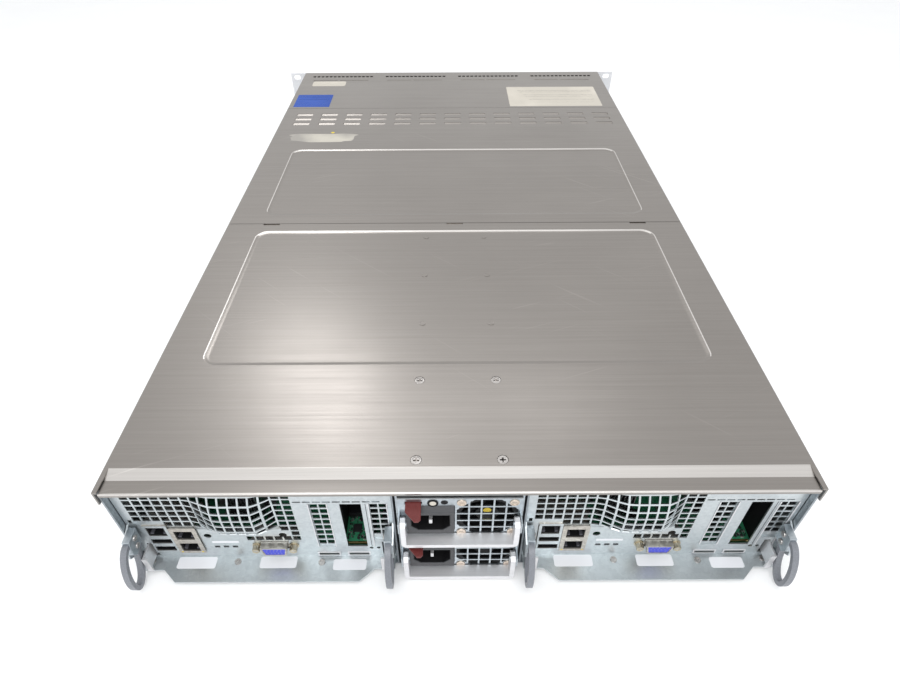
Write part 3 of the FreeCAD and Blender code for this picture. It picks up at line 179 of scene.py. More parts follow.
class Effects:
    """Surface patterns shared by the finishes, each made once as a node group."""

    made: dict[str, bpy.types.NodeTree] = {}

    @classmethod
    def group(cls, name: str, draw: Callable[[Graph, bpy.types.NodeSocket], object]) -> bpy.types.NodeTree:
        """Make or fetch a group that turns a position into one value.

        Args:
            name: The group's name.
            draw: Lays the nodes and gives back the value's socket.

        Returns:
            The node group.
        """
        if name not in cls.made:
            tree = bpy.data.node_groups.new(name, "ShaderNodeTree")
            tree.interface.new_socket("Position", in_out="INPUT", socket_type="NodeSocketVector")
            tree.interface.new_socket("Value", in_out="OUTPUT", socket_type="NodeSocketFloat")
            graph = Graph(tree)
            start = graph.add("NodeGroupInput")
            end = graph.add("NodeGroupOutput")
            tree.links.new(draw(graph, start.outputs[0]), end.inputs[0])
            cls.made[name] = tree
        return cls.made[name]

    @classmethod
    def grain(cls) -> bpy.types.NodeTree:
        """Fine rolled grain that runs along X.

        Returns:
            The node group.
        """
        def draw(graph: Graph, position: bpy.types.NodeSocket) -> object:
            """Lay the nodes of this pattern.

            Args:
                graph: Where the nodes go.
                position: The position socket that they read.

            Returns:
                The value's socket.
            """
            fine = graph.noise(graph.scaled(position, (14.0, 2400.0, 900.0)), 1.0, 2.0)
            wide = graph.noise(graph.scaled(position, (5.0, 420.0, 300.0)), 1.0, 3.0)
            return graph.maths("ADD", graph.maths("MULTIPLY", fine, 0.55),
                               graph.maths("MULTIPLY", wide, 0.45))
        return cls.group("rolled_grain", draw)

    @classmethod
    def spangle(cls) -> bpy.types.NodeTree:
        """Crystal patches of zinc plate.

        Returns:
            The node group.
        """
        def draw(graph: Graph, position: bpy.types.NodeSocket) -> object:
            """Lay the nodes of this pattern.

            Args:
                graph: Where the nodes go.
                position: The position socket that they read.

            Returns:
                The value's socket.
            """
            warp = graph.add("TexNoise", {"Vector": position, "Scale": 160.0}).outputs["Color"]
            bent = graph.add("VectorMath", {0: warp, 1: (0.006, 0.006, 0.006), 2: position},
                             operation="MULTIPLY_ADD").outputs[0]
            cells = graph.add("TexVoronoi", {"Vector": bent, "Scale": 520.0}).outputs["Color"]
            grey = graph.add("SeparateColor", {0: cells}).outputs[0]
            return graph.maths("ADD", graph.maths("MULTIPLY", grey, 0.35),
                               graph.maths("MULTIPLY", graph.noise(position, 26.0, 5.0), 0.65))
        return cls.group("zinc_spangle", draw)

    @classmethod
    def scratches(cls) -> bpy.types.NodeTree:
        """Sparse thin scratches at a slant.

        Returns:
            The node group.
        """
        def draw(graph: Graph, position: bpy.types.NodeSocket) -> object:
            """Lay the nodes of this pattern.

            Args:
                graph: Where the nodes go.
                position: The position socket that they read.

            Returns:
                The value's socket.
            """
            total = None
            for turn, stretch in ((0.7, 0.9), (-0.35, 1.3)):
                turned = graph.add("Mapping", {"Vector": position, "Rotation": (0.0, 0.0, turn)})
                long = graph.scaled(turned.outputs[0], (9.0 * stretch, 420.0, 60.0))
                line = graph.spread(graph.noise(long, 1.0, 0.0), 0.745, 0.80)
                patch = graph.spread(graph.noise(turned.outputs[0], 14.0, 1.0), 0.52, 0.66)
                line = graph.maths("MULTIPLY", line, patch)
                total = line if total is None else graph.maths("MAXIMUM", total, line)
            return total
        return cls.group("thin_scratches", draw)

    @classmethod
    def smudge(cls) -> bpy.types.NodeTree:
        """Wide soft patches of handling dirt.

        Returns:
            The node group.
        """
        def draw(graph: Graph, position: bpy.types.NodeSocket) -> object:
            """Lay the nodes of this pattern.

            Args:
                graph: Where the nodes go.
                position: The position socket that they read.

            Returns:
                The value's socket.
            """
            return graph.spread(graph.noise(position, 11.0, 5.0), 0.35, 0.7)
        return cls.group("soft_smudge", draw)

    @classmethod
    def moulding(cls) -> bpy.types.NodeTree:
        """Fine even texture of moulded plastic or paint.

        Returns:
            The node group.
        """
        def draw(graph: Graph, position: bpy.types.NodeSocket) -> object:
            """Lay the nodes of this pattern.

            Args:
                graph: Where the nodes go.
                position: The position socket that they read.

            Returns:
                The value's socket.
            """
            return graph.noise(position, 1500.0, 3.0)
        return cls.group("moulded_texture", draw)

    @classmethod
    def tracks(cls) -> bpy.types.NodeTree:
        """Copper tracks and small pads of a circuit board, under its lacquer.

        Returns:
            The node group.
        """
        def draw(graph: Graph, position: bpy.types.NodeSocket) -> object:
            """Lay the nodes of this pattern.

            Args:
                graph: Where the nodes go.
                position: The position socket that they read.

            Returns:
                The value's socket.
            """
            blocks = graph.add("TexVoronoi", {"Vector": position, "Scale": 620.0},
                               distance="CHEBYCHEV").outputs["Distance"]
            pads = graph.spread(blocks, 0.16, 0.12)
            lines = graph.add("TexWave", {"Vector": position, "Scale": 330.0, "Distortion": 5.0,
                                          "Detail": 1.0}).outputs["Fac"]
            lines = graph.spread(lines, 0.72, 0.8)
            return graph.maths("MAXIMUM", graph.maths("MULTIPLY", pads, 0.8),
                               graph.maths("MULTIPLY", lines, 0.45))
        return cls.group("board_tracks", draw)


PATTERN = {
    Texture.BRUSHED: Effects.grain,
    Texture.SPANGLE: Effects.spangle,
    Texture.MOULDED: Effects.moulding,
    Texture.PAINTED: Effects.moulding,
    Texture.BOARD: Effects.tracks,
    Texture.PAPER: Effects.smudge,
}


@dataclass(frozen=True)
class Finish:
    """One surface finish: two tones of a pattern, its shine, its relief and its wear."""

    name: str
    colour: Colour
    shade: Colour
    metal: float
    rough: float
    texture: Texture
    rough_range: float = 0.1
    relief: float = 0.1
    worn: float = 0.0
    dirt: float = 0.15
    coat: float = 0.0
    gloss: float = 0.5

    def material(self) -> bpy.types.Material:
        """Make or fetch this finish's material.

        Returns:
            The material.
        """
        found = bpy.data.materials.get(self.name)
        if found is not None:
            return found
        made = bpy.data.materials.new(self.name)
        made.use_nodes = True
        graph = Graph(made.node_tree)
        position = graph.add("TexCoord").outputs["Object"]
        pattern = self._effect(graph, PATTERN[self.texture](), position)
        colour = graph.mix(graph.spread(pattern, 0.3, 0.7), self.shade, self.colour)
        smudge = self._effect(graph, Effects.smudge(), position)
        dark = tuple(c * 0.62 for c in self.shade)
        colour = graph.mix(graph.maths("MULTIPLY", smudge, self.dirt), colour, dark)
        rough = graph.spread(pattern, 0.3, 0.7, self.rough + self.rough_range, self.rough)
        rough = graph.maths("ADD", rough, graph.maths("MULTIPLY", smudge, self.dirt * 0.25))
        height = pattern
        if self.worn > 0.0:
            lines = self._effect(graph, Effects.scratches(), position)
            lines = graph.maths("MULTIPLY", lines, self.worn)
            light = tuple(min(1.0, c * 1.45) for c in self.colour)
            colour = graph.mix(lines, colour, light)
            rough = graph.maths("ADD", rough, graph.maths("MULTIPLY", lines, 0.25))
            height = graph.maths("SUBTRACT", pattern, lines)
        bump = graph.add("Bump", {"Height": height, "Strength": self.relief, "Distance": 0.0002})
        inputs = {"Base Color": colour, "Metallic": self.metal, "Roughness": rough,
                  "Normal": bump.outputs[0], "Coat Weight": self.coat, "Coat Roughness": 0.12,
                  "Specular IOR Level": self.gloss}
        shader = graph.add("BsdfPrincipled", inputs)
        graph.add("OutputMaterial", {"Surface": shader.outputs[0]})
        return made

    @staticmethod
    def _effect(graph: Graph, group: bpy.types.NodeTree, position: object) -> bpy.types.NodeSocket:
        """Place one shared effect in a material.

        Args:
            graph: The material's nodes.
            group: The effect.
            position: The position socket it reads.

        Returns:
            The effect's value.
        """
        node = graph.add("Group", node_tree=group)
        graph.tree.links.new(position, node.inputs[0])
        return node.outputs[0]


COVER = Finish("cover_sheet", (0.320, 0.300, 0.282), (0.275, 0.257, 0.241), 1.0, 0.27,
               Texture.BRUSHED, 0.06, 0.07, 0.3, 0.14)
# Brighter copy of the cover sheet for its bends and rear fold: a painted highlight where light catches them;
# the scratches in it are wear.
BEND_HIGHLIGHT = Finish("painted_bend_highlight", (0.68, 0.655, 0.63), (0.56, 0.54, 0.52), 1.0, 0.30, Texture.BRUSHED,
              0.08, 0.1, 0.2, 0.05)
ZINC = Finish("zinc_sheet", (0.50, 0.545, 0.575), (0.42, 0.465, 0.50), 1.0, 0.30, Texture.SPANGLE,
              0.12, 0.05, 0.25, 0.10)
# Darker copy of the zinc sheet for the chassis tray inside the case: painted shade.
SHADED = Finish("painted_shade_zinc", (0.34, 0.375, 0.40), (0.28, 0.31, 0.335), 1.0, 0.34, Texture.SPANGLE,
                0.12, 0.05, 0.2, 0.12)
PANEL = Finish("panel_sheet", (0.60, 0.64, 0.655), (0.53, 0.57, 0.59), 0.95, 0.34, Texture.SPANGLE,
               0.12, 0.05, 0.1, 0.08)
BRIGHT = Finish("plated_steel", (0.80, 0.80, 0.815), (0.72, 0.72, 0.735), 0.75, 0.42, Texture.BRUSHED,
                0.12, 0.12, 0.3, 0.05)
SCREW = Finish("screw_zinc", (0.55, 0.53, 0.51), (0.36, 0.34, 0.33), 1.0, 0.26, Texture.MOULDED,
               0.12, 0.08, 0.0, 0.2)
COPPER = Finish("copper_zinc", (0.74, 0.65, 0.56), (0.50, 0.42, 0.35), 1.0, 0.3, Texture.MOULDED)
BRASS = Finish("brass", (0.66, 0.60, 0.47), (0.42, 0.37, 0.27), 1.0, 0.28, Texture.MOULDED)
GOLD = Finish("gold_contacts", (0.80, 0.62, 0.28), (0.60, 0.45, 0.19), 1.0, 0.25, Texture.MOULDED)
EAR_PAINT = Finish("ear_paint", (0.27, 0.265, 0.28), (0.23, 0.225, 0.24), 0.0, 0.42, Texture.PAINTED,
                   0.08, 0.1, 0.1, 0.1)
RING_GREY = Finish("ring_paint", (0.225, 0.235, 0.26), (0.165, 0.175, 0.195), 0.1, 0.36,
                   Texture.PAINTED, 0.1, 0.12, 0.15, 0.1)
BLACK = Finish("black_plastic", (0.010, 0.010, 0.011), (0.006, 0.006, 0.007), 0.0, 0.5,
               Texture.MOULDED, gloss=0.2)
DARK = Finish("dark_plastic", (0.050, 0.052, 0.056), (0.034, 0.035, 0.038), 0.0, 0.42,
              Texture.MOULDED, 0.1, 0.15, gloss=0.3)
SOCKET = Finish("inlet_housing", (0.060, 0.062, 0.067), (0.042, 0.043, 0.047), 0.0, 0.40,
                Texture.MOULDED, 0.1, 0.15, gloss=0.35)
KEY = Finish("key_plastic", (0.42, 0.43, 0.45), (0.34, 0.35, 0.36), 0.0, 0.4, Texture.MOULDED)
RED = Finish("release_red", (0.150, 0.026, 0.024), (0.10, 0.016, 0.015), 0.0, 0.42, Texture.MOULDED,
             0.12, 0.2, gloss=0.35)
BLUE = Finish("connector_blue", (0.050, 0.070, 0.66), (0.035, 0.050, 0.50), 0.0, 0.35,
              Texture.MOULDED)
BEIGE = Finish("socket_shell", (0.62, 0.585, 0.53), (0.45, 0.42, 0.38), 0.95, 0.3, Texture.SPANGLE,
               0.12, 0.06, 0.0, 0.1)
BOARD = Finish("circuit_board", (0.014, 0.078, 0.058), (0.002, 0.016, 0.013), 0.0, 0.34,
               Texture.BOARD, 0.1, 0.2, 0.0, 0.1, 0.15, 0.3)
CHIP = Finish("chip_black", (0.022, 0.022, 0.024), (0.012, 0.012, 0.013), 0.0, 0.45,
              Texture.MOULDED, gloss=0.3)
TIN = Finish("solder_tin", (0.52, 0.54, 0.52), (0.36, 0.37, 0.36), 0.9, 0.35, Texture.MOULDED)
ALUMINIUM = Finish("fin_aluminium", (0.50, 0.51, 0.53), (0.38, 0.39, 0.41), 1.0, 0.34,
                   Texture.BRUSHED)
WHITE_LABEL = Finish("white_label", (0.80, 0.81, 0.84), (0.76, 0.77, 0.80), 0.0, 0.45, Texture.PAPER,
                     0.05, 0.05, 0.0, 0.04)
CREAM_LABEL = Finish("cream_label", (0.66, 0.61, 0.53), (0.56, 0.52, 0.45), 0.0, 0.5, Texture.PAPER,
                     0.05, 0.05, 0.0, 0.1)
BLUE_LABEL = Finish("blue_label", (0.022, 0.085, 0.42), (0.018, 0.070, 0.35), 0.0, 0.45, Texture.PAPER,
                    0.05, 0.05, 0.0, 0.05, 0.0, 0.2)
RESIDUE = Finish("old_adhesive", (0.60, 0.565, 0.49), (0.36, 0.34, 0.31), 0.0, 0.7, Texture.PAPER,
                 0.1, 0.3, 0.0, 0.2)
INK = Finish("label_print", (0.10, 0.10, 0.12), (0.07, 0.07, 0.08), 0.0, 0.6, Texture.PAPER)
YELLOW = Finish("yellow_mark", (0.80, 0.62, 0.05), (0.65, 0.48, 0.04), 0.0, 0.5, Texture.PAPER)

NODE_FINISH = {
    "cover": COVER, "case_screws": SCREW, "psu_cage": ZINC, "chassis_tray": SHADED,
    "drive_cage": ZINC, "power_board": BOARD, "backplane": BOARD, "rack_ears": EAR_PAINT,
    "ear_panels": DARK, "fan_frames": BLACK, "rotor": BLACK, "power_button": KEY, "drive_": DARK,
    "_case": ZINC, "_inlet": SOCKET, "_handle": BRIGHT, "_tab": RED, "_tray": ZINC,
    "_rear_panel": PANEL, "_slot_brackets": PANEL, "_mainboard": BOARD, "_heatsinks": ALUMINIUM,
    "_memory": BOARD, "_ports": BEIGE, "_handles": RING_GREY, "_latch": BRIGHT,
}


def finish_of(node: str) -> Finish:
    """Find the finish of a construction piece from its name.

    Args:
        node: The piece's name.

    Returns:
        Its finish.
    """
    hits = [key for key in NODE_FINISH if key in node]
    return NODE_FINISH[max(hits, key=len)]


# ---- workbench -----------------------------------------------------------------
class Bench:
    """Modelling operations. All lengths are millimetres in the object's own frame."""

    pieces: list[bpy.types.Object] = []

    @staticmethod
    def clear(*chosen: bpy.types.Object) -> None:
        """Deselect everything, then select only what is given.

        Args:
            chosen: The objects to select; the first becomes active.
        """
        bpy.ops.object.select_all(action="DESELECT")
        for obj in chosen:
            obj.select_set(True)
        if chosen:
            bpy.context.view_layer.objects.active = chosen[0]

    @staticmethod
    def settle(obj: bpy.types.Object) -> bpy.types.Object:
        """Put an object's place, turn and scale into its mesh.

        Args:
            obj: The object.

        Returns:
            The same object.
        """
        Bench.clear(obj)
        bpy.ops.object.transform_apply(location=True, rotation=True, scale=True)
        return obj

    @staticmethod
    def apply(obj: bpy.types.Object, kind: str, **settings: object) -> bpy.types.Object:
        """Add a modifier and apply it.

        Args:
            obj: The object.
            kind: The modifier's type.
            settings: The modifier's options.

        Returns:
            The same object.
        """
        modifier = obj.modifiers.new(kind.lower(), kind)
        for key, value in settings.items():
            setattr(modifier, key, value)
        Bench.clear(obj)
        bpy.ops.object.modifier_apply(modifier=modifier.name)
        return obj

    @staticmethod
    def bevel(obj: bpy.types.Object, width: float, segments: int = 2) -> bpy.types.Object:
        """Round the sharp edges.

        Args:
            obj: The object.
            width: How wide the rounding is.
            segments: How many steps it has.

        Returns:
            The same object.
        """
        if width <= 0.0:
            return obj
        return Bench.apply(obj, "BEVEL", width=width * MM, segments=segments, limit_method="ANGLE",
                           angle_limit=math.radians(32), use_clamp_overlap=True)

    @staticmethod
    def slab(low: Point, high: Point, edge: float = 0.2, segments: int = 2) -> bpy.types.Object:
        """Block with rounded edges.

        Args:
            low: Its lowest corner.
            high: Its highest corner.
            edge: How wide the rounding is.
            segments: How many steps the rounding has.

        Returns:
            The block.
        """
        Bench.clear()
        middle = [(a + b) / 2 * MM for a, b in zip(low, high)]
        bpy.ops.mesh.primitive_cube_add(size=1.0, location=middle)
        obj = bpy.context.active_object
        obj.scale = [(b - a) * MM for a, b in zip(low, high)]
        return Bench.bevel(Bench.settle(obj), edge, segments)

    @staticmethod
    def rod(start: Point, end: Point, radius: float, sides: int = 24,
            edge: float = 0.0) -> bpy.types.Object:
        """Round bar between two points.

        Args:
            start: Middle of its first end.
            end: Middle of its other end.
            radius: Its radius.
            sides: How many sides stand for the circle.
            edge: How wide the rounding at its ends is.

        Returns:
            The bar.
        """
        Bench.clear()
        first, last = Vector(start) * MM, Vector(end) * MM
        turn = (last - first).to_track_quat("Z", "Y").to_euler()
        bpy.ops.mesh.primitive_cylinder_add(vertices=sides, radius=radius * MM,
                                            depth=(last - first).length,
                                            location=(first + last) / 2, rotation=turn)
        return Bench.bevel(Bench.settle(bpy.context.active_object), edge)

    @staticmethod
    def hollow(obj: bpy.types.Object, side: Point, rim: float, depth: float,
               edge: float = 0.0) -> bpy.types.Object:
        """Sink the face that looks to one side, leaving a rim.

        Args:
            obj: The object.
            side: The direction the face looks to.
            rim: How wide the rim is.
            depth: How deep the hollow is.
            edge: How wide the rounding is afterwards.

        Returns:
            The same object.
        """
        way = Vector(side).normalized()
        Bench.clear(obj)
        top = max(face.center.dot(way) for face in obj.data.polygons)
        for face in obj.data.polygons:
            face.select = face.normal.dot(way) > 0.99 and face.center.dot(way) > top - 1e-6
        bpy.ops.object.mode_set(mode="EDIT")
        bpy.ops.mesh.select_mode(type="FACE")
        bpy.ops.object.mode_set(mode="OBJECT")
        bpy.ops.object.mode_set(mode="EDIT")
        bpy.ops.mesh.inset(thickness=rim * MM)
        bpy.ops.mesh.extrude_region_move(TRANSFORM_OT_translate={"value": -way * depth * MM})
        bpy.ops.object.mode_set(mode="OBJECT")
        return Bench.bevel(obj, edge)

    @staticmethod
    def outline(points: Iterable[Point], push: Point, edge: float = 0.0) -> bpy.types.Object:
        """Flat outline pushed out to a thickness.

        Args:
            points: The outline's corners in order, in one plane.
            push: How far and which way it is pushed.
            edge: How wide the rounding is.

        Returns:
            The solid.
        """
        corners = list(points)
        Bench.clear()
        bpy.ops.mesh.primitive_circle_add(vertices=len(corners), fill_type="NGON")
        obj = bpy.context.active_object
        for vertex, corner in zip(obj.data.vertices, corners):
            vertex.co = Vector(corner) * MM
        bpy.ops.object.mode_set(mode="EDIT")
        bpy.ops.mesh.select_all(action="SELECT")
        move = {"value": Vector(push) * MM}
        bpy.ops.mesh.extrude_region_move(TRANSFORM_OT_translate=move)
        bpy.ops.mesh.select_all(action="SELECT")
        bpy.ops.mesh.normals_make_consistent(inside=False)
        bpy.ops.object.mode_set(mode="OBJECT")
        return Bench.bevel(obj, edge)

    @staticmethod
    def join(parts: list[bpy.types.Object]) -> bpy.types.Object:
        """Make one object of several.

        Args:
            parts: The objects.

        Returns:
            The first object, which now holds them all.
        """
        Bench.clear(*parts)
        if len(parts) > 1:
            bpy.ops.object.join()
        return parts[0]

    @staticmethod
    def carve(obj: bpy.types.Object, cutters: list[bpy.types.Object]) -> bpy.types.Object:
        """Take the cutters' shapes out of an object.

        Args:
            obj: The object.
            cutters: The shapes to take out, which are used up.

        Returns:
            The same object.
        """
        tool = Bench.join(cutters)
        Bench.apply(obj, "BOOLEAN", operation="DIFFERENCE", object=tool, solver="EXACT")
        bpy.data.objects.remove(tool)
        return obj

    @staticmethod
    def worked(node: str, edge: float, segments: int = 2) -> bpy.types.Object:
        """Copy of a construction piece with clean faces and rounded edges.

        Args:
            node: The piece's name.
            edge: How wide the rounding is.
            segments: How many steps the rounding has.

        Returns:
            The copy.
        """
        other = bpy.data.objects.new(node + "_worked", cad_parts[node].data.copy())
        bpy.context.scene.collection.objects.link(other)
        Bench.clear(other)
        bpy.ops.mesh.customdata_custom_splitnormals_clear()
        bpy.ops.object.mode_set(mode="EDIT")
        bpy.ops.mesh.select_all(action="SELECT")
        bpy.ops.mesh.remove_doubles(threshold=2e-6)
        bpy.ops.mesh.dissolve_limited(angle_limit=math.radians(0.6))
        bpy.ops.object.mode_set(mode="OBJECT")
        return Bench.bevel(other, edge, segments)

    @staticmethod
    def finish(obj: bpy.types.Object, name: str, body: str, look: Finish, slot: str,
               *stands_for: str) -> bpy.types.Object:
        """Name, coat and place a finished piece.

        Args:
            obj: The piece.
            name: Its name.
            body: The body it moves with.
            look: Its finish.
            slot: Name of a material slot; not used.
            stands_for: The construction pieces that it is shown in place of.

        Returns:
            The piece.
        """
        obj.name = name
        obj.data.name = name
        obj.data.materials.clear()
        obj.data.materials.append(look.material())
        for face in obj.data.polygons:
            face.material_index = 0
        Bench.clear(obj)
        bpy.ops.object.shade_smooth_by_angle(angle=math.radians(38))
        Bench.apply(obj, "WEIGHTED_NORMAL", keep_sharp=True)
        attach(obj, body)
        if stands_for:
            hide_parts(*stands_for)
        Bench.pieces.append(obj)
        print("made", name, len(obj.data.polygons), "faces")
        return obj


def ease(value: float, start: float, end: float) -> float:
    """Smooth step from 0 at start to 1 at end.

    Args:
        value: Where to read the step.
        start: Where it begins to rise.
        end: Where it has risen.

    Returns:
        A number from 0 to 1.
    """
    share = min(1.0, max(0.0, (value - start) / (end - start)))
    return share * share * (3.0 - 2.0 * share)


# ---- top cover -----------------------------------------------------------------
@dataclass
class TopCover:
    """Three-piece top cover with its vents, louvres, fixings and stickers."""

    top: float = 88.0
    rear: float = 368.0
    vent_groups: int = 4
    vents: int = 15
    vent_pitch: float = 6.0
    vent_spread: float = 107.3
    vent_y: float = -351.0
    vent_half_length: float = 2.1
    vent_half_width: float = 2.4
    strip_spans: tuple = ((-39.0, 3.0), (6.0, 41.0))
    strip_near: float = 14.5
    strip_far: float = 19.5
    strip_depth: float = 0.35
    label_margin: float = 0.2
    label_depth: float = 0.12
    louvres: int = 13
    louvre_pitch: float = 32.0
    louvre_row: float = 14.7
    louvre_y: float = -206.5
    louvre_length: float = 21.0
    louvre_width: float = 6.4
    front_band: float = 0.55
    side_band: float = 0.22
    screw_x: float = 27.0
    screw_in: float = 23.0
    screw_row: float = 69.0
    screw_radius: float = 3.35
    rivet_rows: tuple = (212.5, 148.0, 87.5)
    rivet_radius: float = 2.6
    dimple_radius: float = 3.0
    highlight_from: float = 6.0
    # Slopes between these angles from level take the painted highlight.
    highlight_to: float = 17.0
    hem_half: float = 215.9
    hem_down: float = 2.15
    hem_radius: float = 0.8
    patch_x: float = 158.5
    patch_y: float = -135.0
    patch_length: float = 43.0
    patch_width: float = 12.0
    patch_corners: int = 26
    dot_x: float = 148.0
    dot_y: float = -150.0
    dot_radius: float = 2.2

    def build(self) -> None:
        """Build all that belongs to the cover."""
        self.vented_front()
        self.fan_lid()
        self.rear_sheet()
        self.hem_bead()
        self.screws()
        self.rivets()
        self.stickers()

    def vented_front(self) -> None:
        """Front cover with four rows of small vents and the pressed strips behind them."""
        sheet = Bench.worked("front_cover", 0.0)
        cutters = []
        for group in range(self.vent_groups):
            middle = (group - (self.vent_groups - 1) / 2) * self.vent_spread
            for i in range(self.vents):
                x = middle + (i - (self.vents - 1) / 2) * self.vent_pitch
                low = (x - self.vent_half_length, self.vent_y - self.vent_half_width, self.top - 3)
                high = (x + self.vent_half_length, self.vent_y + self.vent_half_width, self.top + 1)
                cutters.append(Bench.slab(low, high, 0.0))
            for start, end in self.strip_spans:
                low = (middle + start, self.vent_y + self.strip_near, self.top - self.strip_depth)
                high = (middle + end, self.vent_y + self.strip_far, self.top + 1)
                cutters.append(Bench.slab(low, high, 0.0))
        margin = self.label_margin
        for x0, x1, y0, y1 in self.label_spots():
            low = (x0 - margin, y0 - margin, self.top - self.label_depth)
            cutters.append(Bench.slab(low, (x1 + margin, y1 + margin, self.top + 1), 0.0))
        Bench.carve(sheet, cutters)
        Bench.bevel(sheet, 0.25, 2)
        Bench.finish(sheet, "front_cover_vented", "chassis", COVER, "cover_steel", "front_cover")

    def label_spots(self) -> list[tuple[float, float, float, float]]:
        """Places of the three labels on the front cover.

        Returns:
            Left, right, front and rear edge of each.
        """
        blue = (165.0, 213.0, -278.0, -233.5)
        rating = (-201.0, -77.0, -305.0, -233.0)
        strip = (153.5, 201.0, -331.0, -312.0)
        return [blue, rating, strip]

    def fan_lid(self) -> None:
        """Fan cover with its pressed louvres, each a window with a strip that slopes down under it."""
        sheet = Bench.worked("fan_cover", 0.0)
        half, reach, top = self.louvre_length / 2, self.louvre_width / 2, self.top
        windows, strips = [], []
        for column in range(self.louvres):
            x = (column - (self.louvres - 1) / 2) * self.louvre_pitch
            for row in range(3):
                y = self.louvre_y + row * self.louvre_row
                windows.append(Bench.slab((x - half, y - reach, top - 3),
                                          (x + half, y + reach, top + 3), 1.2))
                high, low = y - reach - 0.2, y + reach - 0.8
                slope = [(high, top - 0.2), (low, top - 2.3), (low, top - 2.9), (high, top - 0.8)]
                left = x - half - 0.3
                strips.append(Bench.outline([(left, a, b) for a, b in slope], (2 * half + 0.6, 0, 0)))
                for end in (left, x + half):
                    cheek = [(high, top - 0.5), (low, top - 0.9), (low, top - 2.6)]
                    strips.append(Bench.outline([(end, a, b) for a, b in cheek], (0.3, 0, 0)))
        Bench.bevel(Bench.carve(sheet, windows), 0.3, 2)
        for pocket in (self.patch, self.dot):
            Bench.carve(sheet, [pocket(-self.label_depth, 1.0)])
        whole = Bench.join([self.score(sheet)] + strips)
        Bench.finish(whole, "fan_lid_sheet", "fan_lid", COVER, "cover_steel", "fan_cover")
        # Painted highlight on the upper part of the pressed slopes.
        self.paint_bend_highlight(whole)

    def rear_sheet(self) -> None:
        """Rear cover with rounded bends, and a painted highlight on its slopes and rear step."""
        sheet = self.score(Bench.worked("rear_cover", 0.4, 3))
        Bench.finish(sheet, "rear_cover_sheet", "chassis", COVER, "cover_steel", "rear_cover")
        # Painted highlight on the upper part of the slopes and on the rear step.
        self.paint_bend_highlight(sheet)

    def score(self, sheet: bpy.types.Object) -> bpy.types.Object:
        """Divide the pressed slopes level with their upper edges, so that the painted highlight can cover
        just their upper part.

        Args:
            sheet: The cover that they are on.

        Returns:
            The same cover.
        """
        Bench.clear(sheet)
        bpy.ops.object.mode_set(mode="EDIT")
        for depth in (self.front_band, self.side_band):
            bpy.ops.mesh.select_all(action="SELECT")
            bpy.ops.mesh.bisect(plane_co=(0, 0, (self.top - depth) * MM), plane_no=(0, 0, 1))
        bpy.ops.object.mode_set(mode="OBJECT")
        return sheet

    def paint_bend_highlight(self, sheet: bpy.types.Object) -> None:
        """Give the upper part of the slopes, and the slopes near the rear edge, the brighter finish: a
        painted highlight where light catches the bends.

        Args:
            sheet: The cover that they are on.
        """
        sheet.data.materials.append(BEND_HIGHLIGHT.material())
        flattest, steepest = math.cos(math.radians(self.highlight_from)), math.cos(math.radians(self.highlight_to))
        for face in sheet.data.polygons:
            slope = steepest < face.normal.z < flattest and face.normal.y > -0.1
            depth = self.front_band if face.normal.y > 0.1 else self.side_band
            high = face.center.z > (self.top - depth) * MM
            if slope and (high or face.center.y > (self.rear - 20.0) * MM):
                face.material_index = 1

    def hem_bead(self) -> None:
        """Rounded fold along the rear edge, in the brighter bend finish that paints a highlight on it."""
        y, z = self.rear - 0.5, self.top - self.hem_down
        bead = Bench.rod((-self.hem_half, y, z), (self.hem_half, y, z), self.hem_radius, 20, 0.3)
        # The fold takes the bend finish: a painted highlight along the rear edge.
        Bench.finish(bead, "rear_fold", "chassis", BEND_HIGHLIGHT, "cover_steel")

    def screw(self, x: float, y: float, radius: float) -> bpy.types.Object:
        """Countersunk screw head with a cross recess.

        Args:
            x: Its place across.
            y: Its place along.
            radius: The head's radius.

        Returns:
            The screw.
        """
        head = Bench.rod((x, y, self.top - 2.4), (x, y, self.top - 0.15), radius, 28)
        Bench.hollow(head, (0, 0, 1), 0.8, 0.35)
        cross = [Bench.slab((x - 1.9, y - 0.5, self.top - 2.0), (x + 1.9, y + 0.5, self.top), 0.0),
                 Bench.slab((x - 0.5, y - 1.9, self.top - 2.0), (x + 0.5, y + 1.9, self.top), 0.0)]
        Bench.carve(head, cross[:1])
        Bench.carve(head, cross[1:])
        return Bench.bevel(head, 0.12, 2)

    def screws(self) -> None:
        """The four cover screws."""
        parts = [self.screw(x, self.rear - self.screw_in - row * self.screw_row, self.screw_radius)
                 for x in (-self.screw_x, self.screw_x) for row in range(2)]
        Bench.finish(Bench.join(parts), "cover_screws", "chassis", SCREW, "screw_steel", "case_screws")

    def rivets(self) -> None:
        """Flush rivets in the sunk panel and small dimple screws on both sides of the first seam."""
        parts = []
        level = self.top - 1.15
        for x in (-self.screw_x, self.screw_x):
            for y in self.rivet_rows:
                head = Bench.rod((x, y, level - 0.6), (x, y, level + 0.25), self.rivet_radius, 20)
                parts.append(Bench.hollow(head, (0, 0, 1), 0.7, 0.12, 0.1))
        Bench.finish(Bench.join(parts), "cover_rivets", "chassis", COVER, "screw_steel")
        on_front = ((107.6, -245.0), (-107.6, -245.0), (107.6, -295.7))
        on_lid = ((106.5, -223.5), (-106.5, -223.5))
        self.dimples("front_dimples", "chassis", on_front)
        self.dimples("lid_dimples", "fan_lid", on_lid)

    def dimples(self, name: str, body: str, spots: Iterable[tuple[float, float]]) -> None:
        """Small sunk screws in one cover.

        Args:
            name: The name they get together.
            body: The body they move with.
            spots: Their places across and along.
        """
        parts = []
        for x, y in spots:
            head = Bench.rod((x, y, self.top - 0.6), (x, y, self.top - 0.02), self.dimple_radius, 20)
            parts.append(Bench.hollow(head, (0, 0, 1), 0.7, 0.4, 0.1))
        Bench.finish(Bench.join(parts), name, body, SCREW, "screw_steel")

